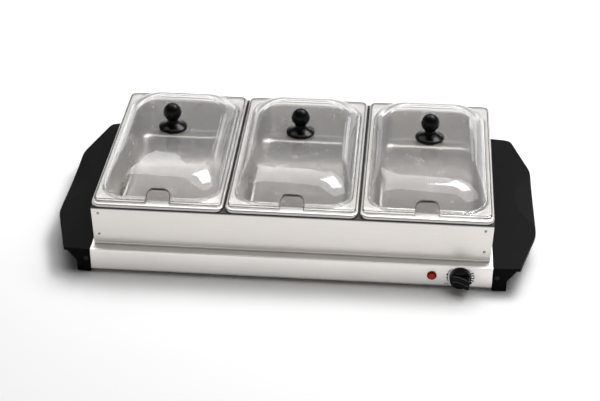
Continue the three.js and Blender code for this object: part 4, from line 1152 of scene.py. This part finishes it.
@dataclass(frozen=True)
class Softbox:
    """A large area lamp."""

    name: str
    place: Place
    width: float
    height: float
    power: float
    aim: Place = (0, 0, 0.1)

    def build(self) -> None:
        """Hangs the lamp and aims it."""
        light = bpy.data.lights.new(self.name, "AREA")
        light.shape = "RECTANGLE"
        light.size, light.size_y = self.width, self.height
        light.energy = self.power
        lamp = in_scene(bpy.data.objects.new(self.name, light))
        way = Vector(self.aim) - Vector(self.place)
        lamp.location = self.place
        lamp.rotation_euler = way.to_track_quat("-Z", "Y").to_euler()


@dataclass
class Studio:
    """Camera, floor, surroundings and lamps."""

    camera_place: Place = (0.15422, -1.94689, 1.23583)
    camera_turn: Place = (58.2297, -0.2211, 4.6576)  # degrees
    lens: float = 92.43
    sensor: float = 36.0
    clip: tuple[float, float] = (0.05, 50.0)
    floor_size: float = 14.0
    floor_colour: Colour = (0.95, 0.95, 0.95)
    white_from: float = 0.55
    white_to: float = 1.2
    around: float = 0.08
    overhead: float = 0.2
    haze_from: float = 0.08
    haze_to: float = 0.5
    softboxes: tuple[Softbox, ...] = (
        Softbox("top_box", (0.5, 0.98, 2.6), 4.6, 2.4, 84.0),
        Softbox("key_box", (0.9, 1.1, 2.3), 1.2, 0.9, 42.0),
        Softbox("strip_box", (1.05, 2.4, 1.05), 0.6, 0.5, 3.0),
    )

    def build(self) -> None:
        """Sets up everything that isn't part of the server."""
        self._camera()
        self._floor()
        self._world()
        for box in self.softboxes:
            box.build()
        bpy.context.scene.view_settings.view_transform = "Standard"

    def _camera(self) -> None:
        """Places the camera as it stood for the photograph."""
        data = bpy.data.cameras.new("camera")
        data.sensor_width, data.lens = self.sensor, self.lens
        data.clip_start, data.clip_end = self.clip
        camera = in_scene(bpy.data.objects.new("camera", data))
        camera.location = self.camera_place
        camera.rotation_euler = [math.radians(turn) for turn in self.camera_turn]
        bpy.context.scene.camera = camera

    def _floor(self) -> None:
        """Lays a pale floor under the server, which turns plain white away from it."""
        half = self.floor_size / 2
        mesh = bpy.data.meshes.new("floor")
        corners = [(-half, -half, 0), (half, -half, 0), (half, half, 0), (-half, half, 0)]
        mesh.from_pydata(corners, [], [(0, 1, 2, 3)])
        floor = in_scene(bpy.data.objects.new("floor", mesh))
        paint = Paint("floor_paper")
        paint.feed(paint.shader, {
            "Base Color": self.floor_colour,
            "Roughness": 0.9,
            "Specular IOR Level": 0.1,
        })
        away = paint.distance(paint.place())
        far = paint.share(away, self.white_from, self.white_to, "SMOOTHSTEP")
        seen = paint.rays("Camera", "Glossy", "Transmission")
        white = {"Color": (1.0, 1.0, 1.0), "Strength": 1.0}
        paint.replace_where(far * seen, "ShaderNodeEmission", white)
        mesh.materials.append(paint.material)

    def _world(self) -> None:
        """Surrounds the scene: white where it is seen, dimmer as light, greyer overhead in mirrors.

        What metal and glass show is white at the horizon and falls to the overhead level along
        a smooth ramp over the height of the direction.
        """
        world = bpy.data.worlds.new("surroundings")
        world.use_nodes = True
        wires = Wiring(world.node_tree)
        spot = wires.signal("ShaderNodeTexCoord", {}, {}, "Generated")
        ceiling = wires.signal("ShaderNodeMapRange", {"interpolation_type": "SMOOTHSTEP"}, {
            "Value": wires.signal("ShaderNodeSeparateXYZ", {}, {0: spot}, "Z"),
            "From Min": self.haze_from,
            "From Max": self.haze_to,
            "To Min": 1.0,
            "To Max": self.overhead,
        })
        path = wires.node("ShaderNodeLightPath", {}, {}).outputs
        strength = self.around
        for ray, level in (("Glossy", ceiling), ("Transmission", ceiling), ("Camera", 1.0)):
            inputs = {0: path[f"Is {ray} Ray"], 2: strength, 3: level}
            strength = wires.signal("ShaderNodeMix", {}, inputs)
        backdrop = world.node_tree.nodes["Background"]
        wires.feed(backdrop, {"Color": (1, 1, 1), "Strength": strength})
        bpy.context.scene.world = world


# ---- The whole


def make_finishes() -> dict[str, Material]:
    """Builds every finish, by the record's slot name."""
    finishes = [
        GrainedSteel("tray_steel", (0.92, 0.89, 0.86), 0.42),
        # rack_steel carries painted shade along the top of its panels, under the pans' rims
        GrainedSteel("rack_steel", (0.8, 0.765, 0.735), 0.42, painted_shade_from=0.0938),
        # the darker well colour is painted shade inside the pans; the rim is the lit tone
        DrawnSteel("pan_steel", (0.46, 0.444, 0.424), (0.6, 0.586, 0.566), 0.24),
        ClearPlastic("clear_plastic", (0.98, 0.975, 0.968)),
        MouldedPlastic("gloss_black", (0.003, 0.003, 0.0035), 0.16, 700.0, 0.00001, 0.11),
        MouldedPlastic("cap_plastic", (0.0035, 0.0035, 0.004), 0.42, specular=0.035),
        MouldedPlastic("knob_black", (0.002, 0.002, 0.0025), 0.22, 900.0, 0.00001, 0.1),
        # dark painted shade for the lids' notch faces and the skirts' feet
        Mottled("notch_and_foot_shade", (0.05, 0.048, 0.045), (0.025, 0.024, 0.022), 0.5, 0.0, 300.0),
        # weld spots lighter than the rack's steel: painted highlight
        Mottled("weld_steel_and_highlight", (0.95, 0.93, 0.91), (0.85, 0.83, 0.8), 0.18, 1.0, 300.0),
        # heat rings: real heat tint, set off centre as painted shade
        Mottled("heat_ring_and_shade", (0.05, 0.045, 0.04), (0.02, 0.018, 0.016), 0.5, 0.3, 300.0),
        # painted highlights: light lines that stand for the lit edges of a groove on the grip
        Mottled("grip_line_highlight", (0.12, 0.13, 0.135), (0.09, 0.1, 0.105), 0.5),
        Mottled("dial_ink", (0.02, 0.02, 0.022), (0.012, 0.012, 0.013), 0.6),
        Mottled("rubber", (0.05, 0.05, 0.052), (0.03, 0.03, 0.032), 0.85),
        Mottled("blackened_steel", (0.014, 0.014, 0.015), (0.007, 0.007, 0.0075), 0.6, 0.3, 200.0),
        Mottled("zinc_steel", (0.66, 0.67, 0.7), (0.5, 0.51, 0.53), 0.42, 1.0, 60.0),
        Mottled("aluminium", (0.76, 0.77, 0.78), (0.66, 0.67, 0.68), 0.38, 1.0, 40.0),
        Mottled("element_sheath", (0.3, 0.27, 0.24), (0.16, 0.14, 0.13), 0.5, 1.0, 90.0),
        # the lens's bright middle is painted glow
        Lens("red_lens", (0.62, 0.03, 0.006), (0.14, 0.003, 0.003)),
        Mottled("neon_glass", (0.95, 0.8, 0.65), (0.85, 0.7, 0.55), 0.1, 0.0, 60.0, 0.00001, 0.4),
        Mottled("ceramic", (0.84, 0.82, 0.78), (0.76, 0.74, 0.7), 0.5),
        WovenSleeve("wire_cover", (0.42, 0.1, 0.08)),
    ]
    return {finish.name: finish.material() for finish in finishes}


def main() -> None:
    """Builds the studio, dresses the CAD nodes and adds the modelled pieces."""
    Studio().build()
    finishes = make_finishes()
    dress_nodes(frame["nodes"], finishes, frame["record"])
    for station in Station:
        Pan(station).build(finishes["pan_steel"])
        Lid(station).build(finishes["clear_plastic"], finishes["notch_and_foot_shade"])
        LidKnob(station).build(finishes["gloss_black"])
    knob = ControlKnob()
    knob.build(finishes["knob_black"])
    knob.build_lines(finishes["grip_line_highlight"])
    panel = FrontPanel()
    panel.build_marks(finishes["dial_ink"])
    panel.build_welds(finishes["weld_steel_and_highlight"], finishes["heat_ring_and_shade"])


if __name__ == "__main__":
    main()
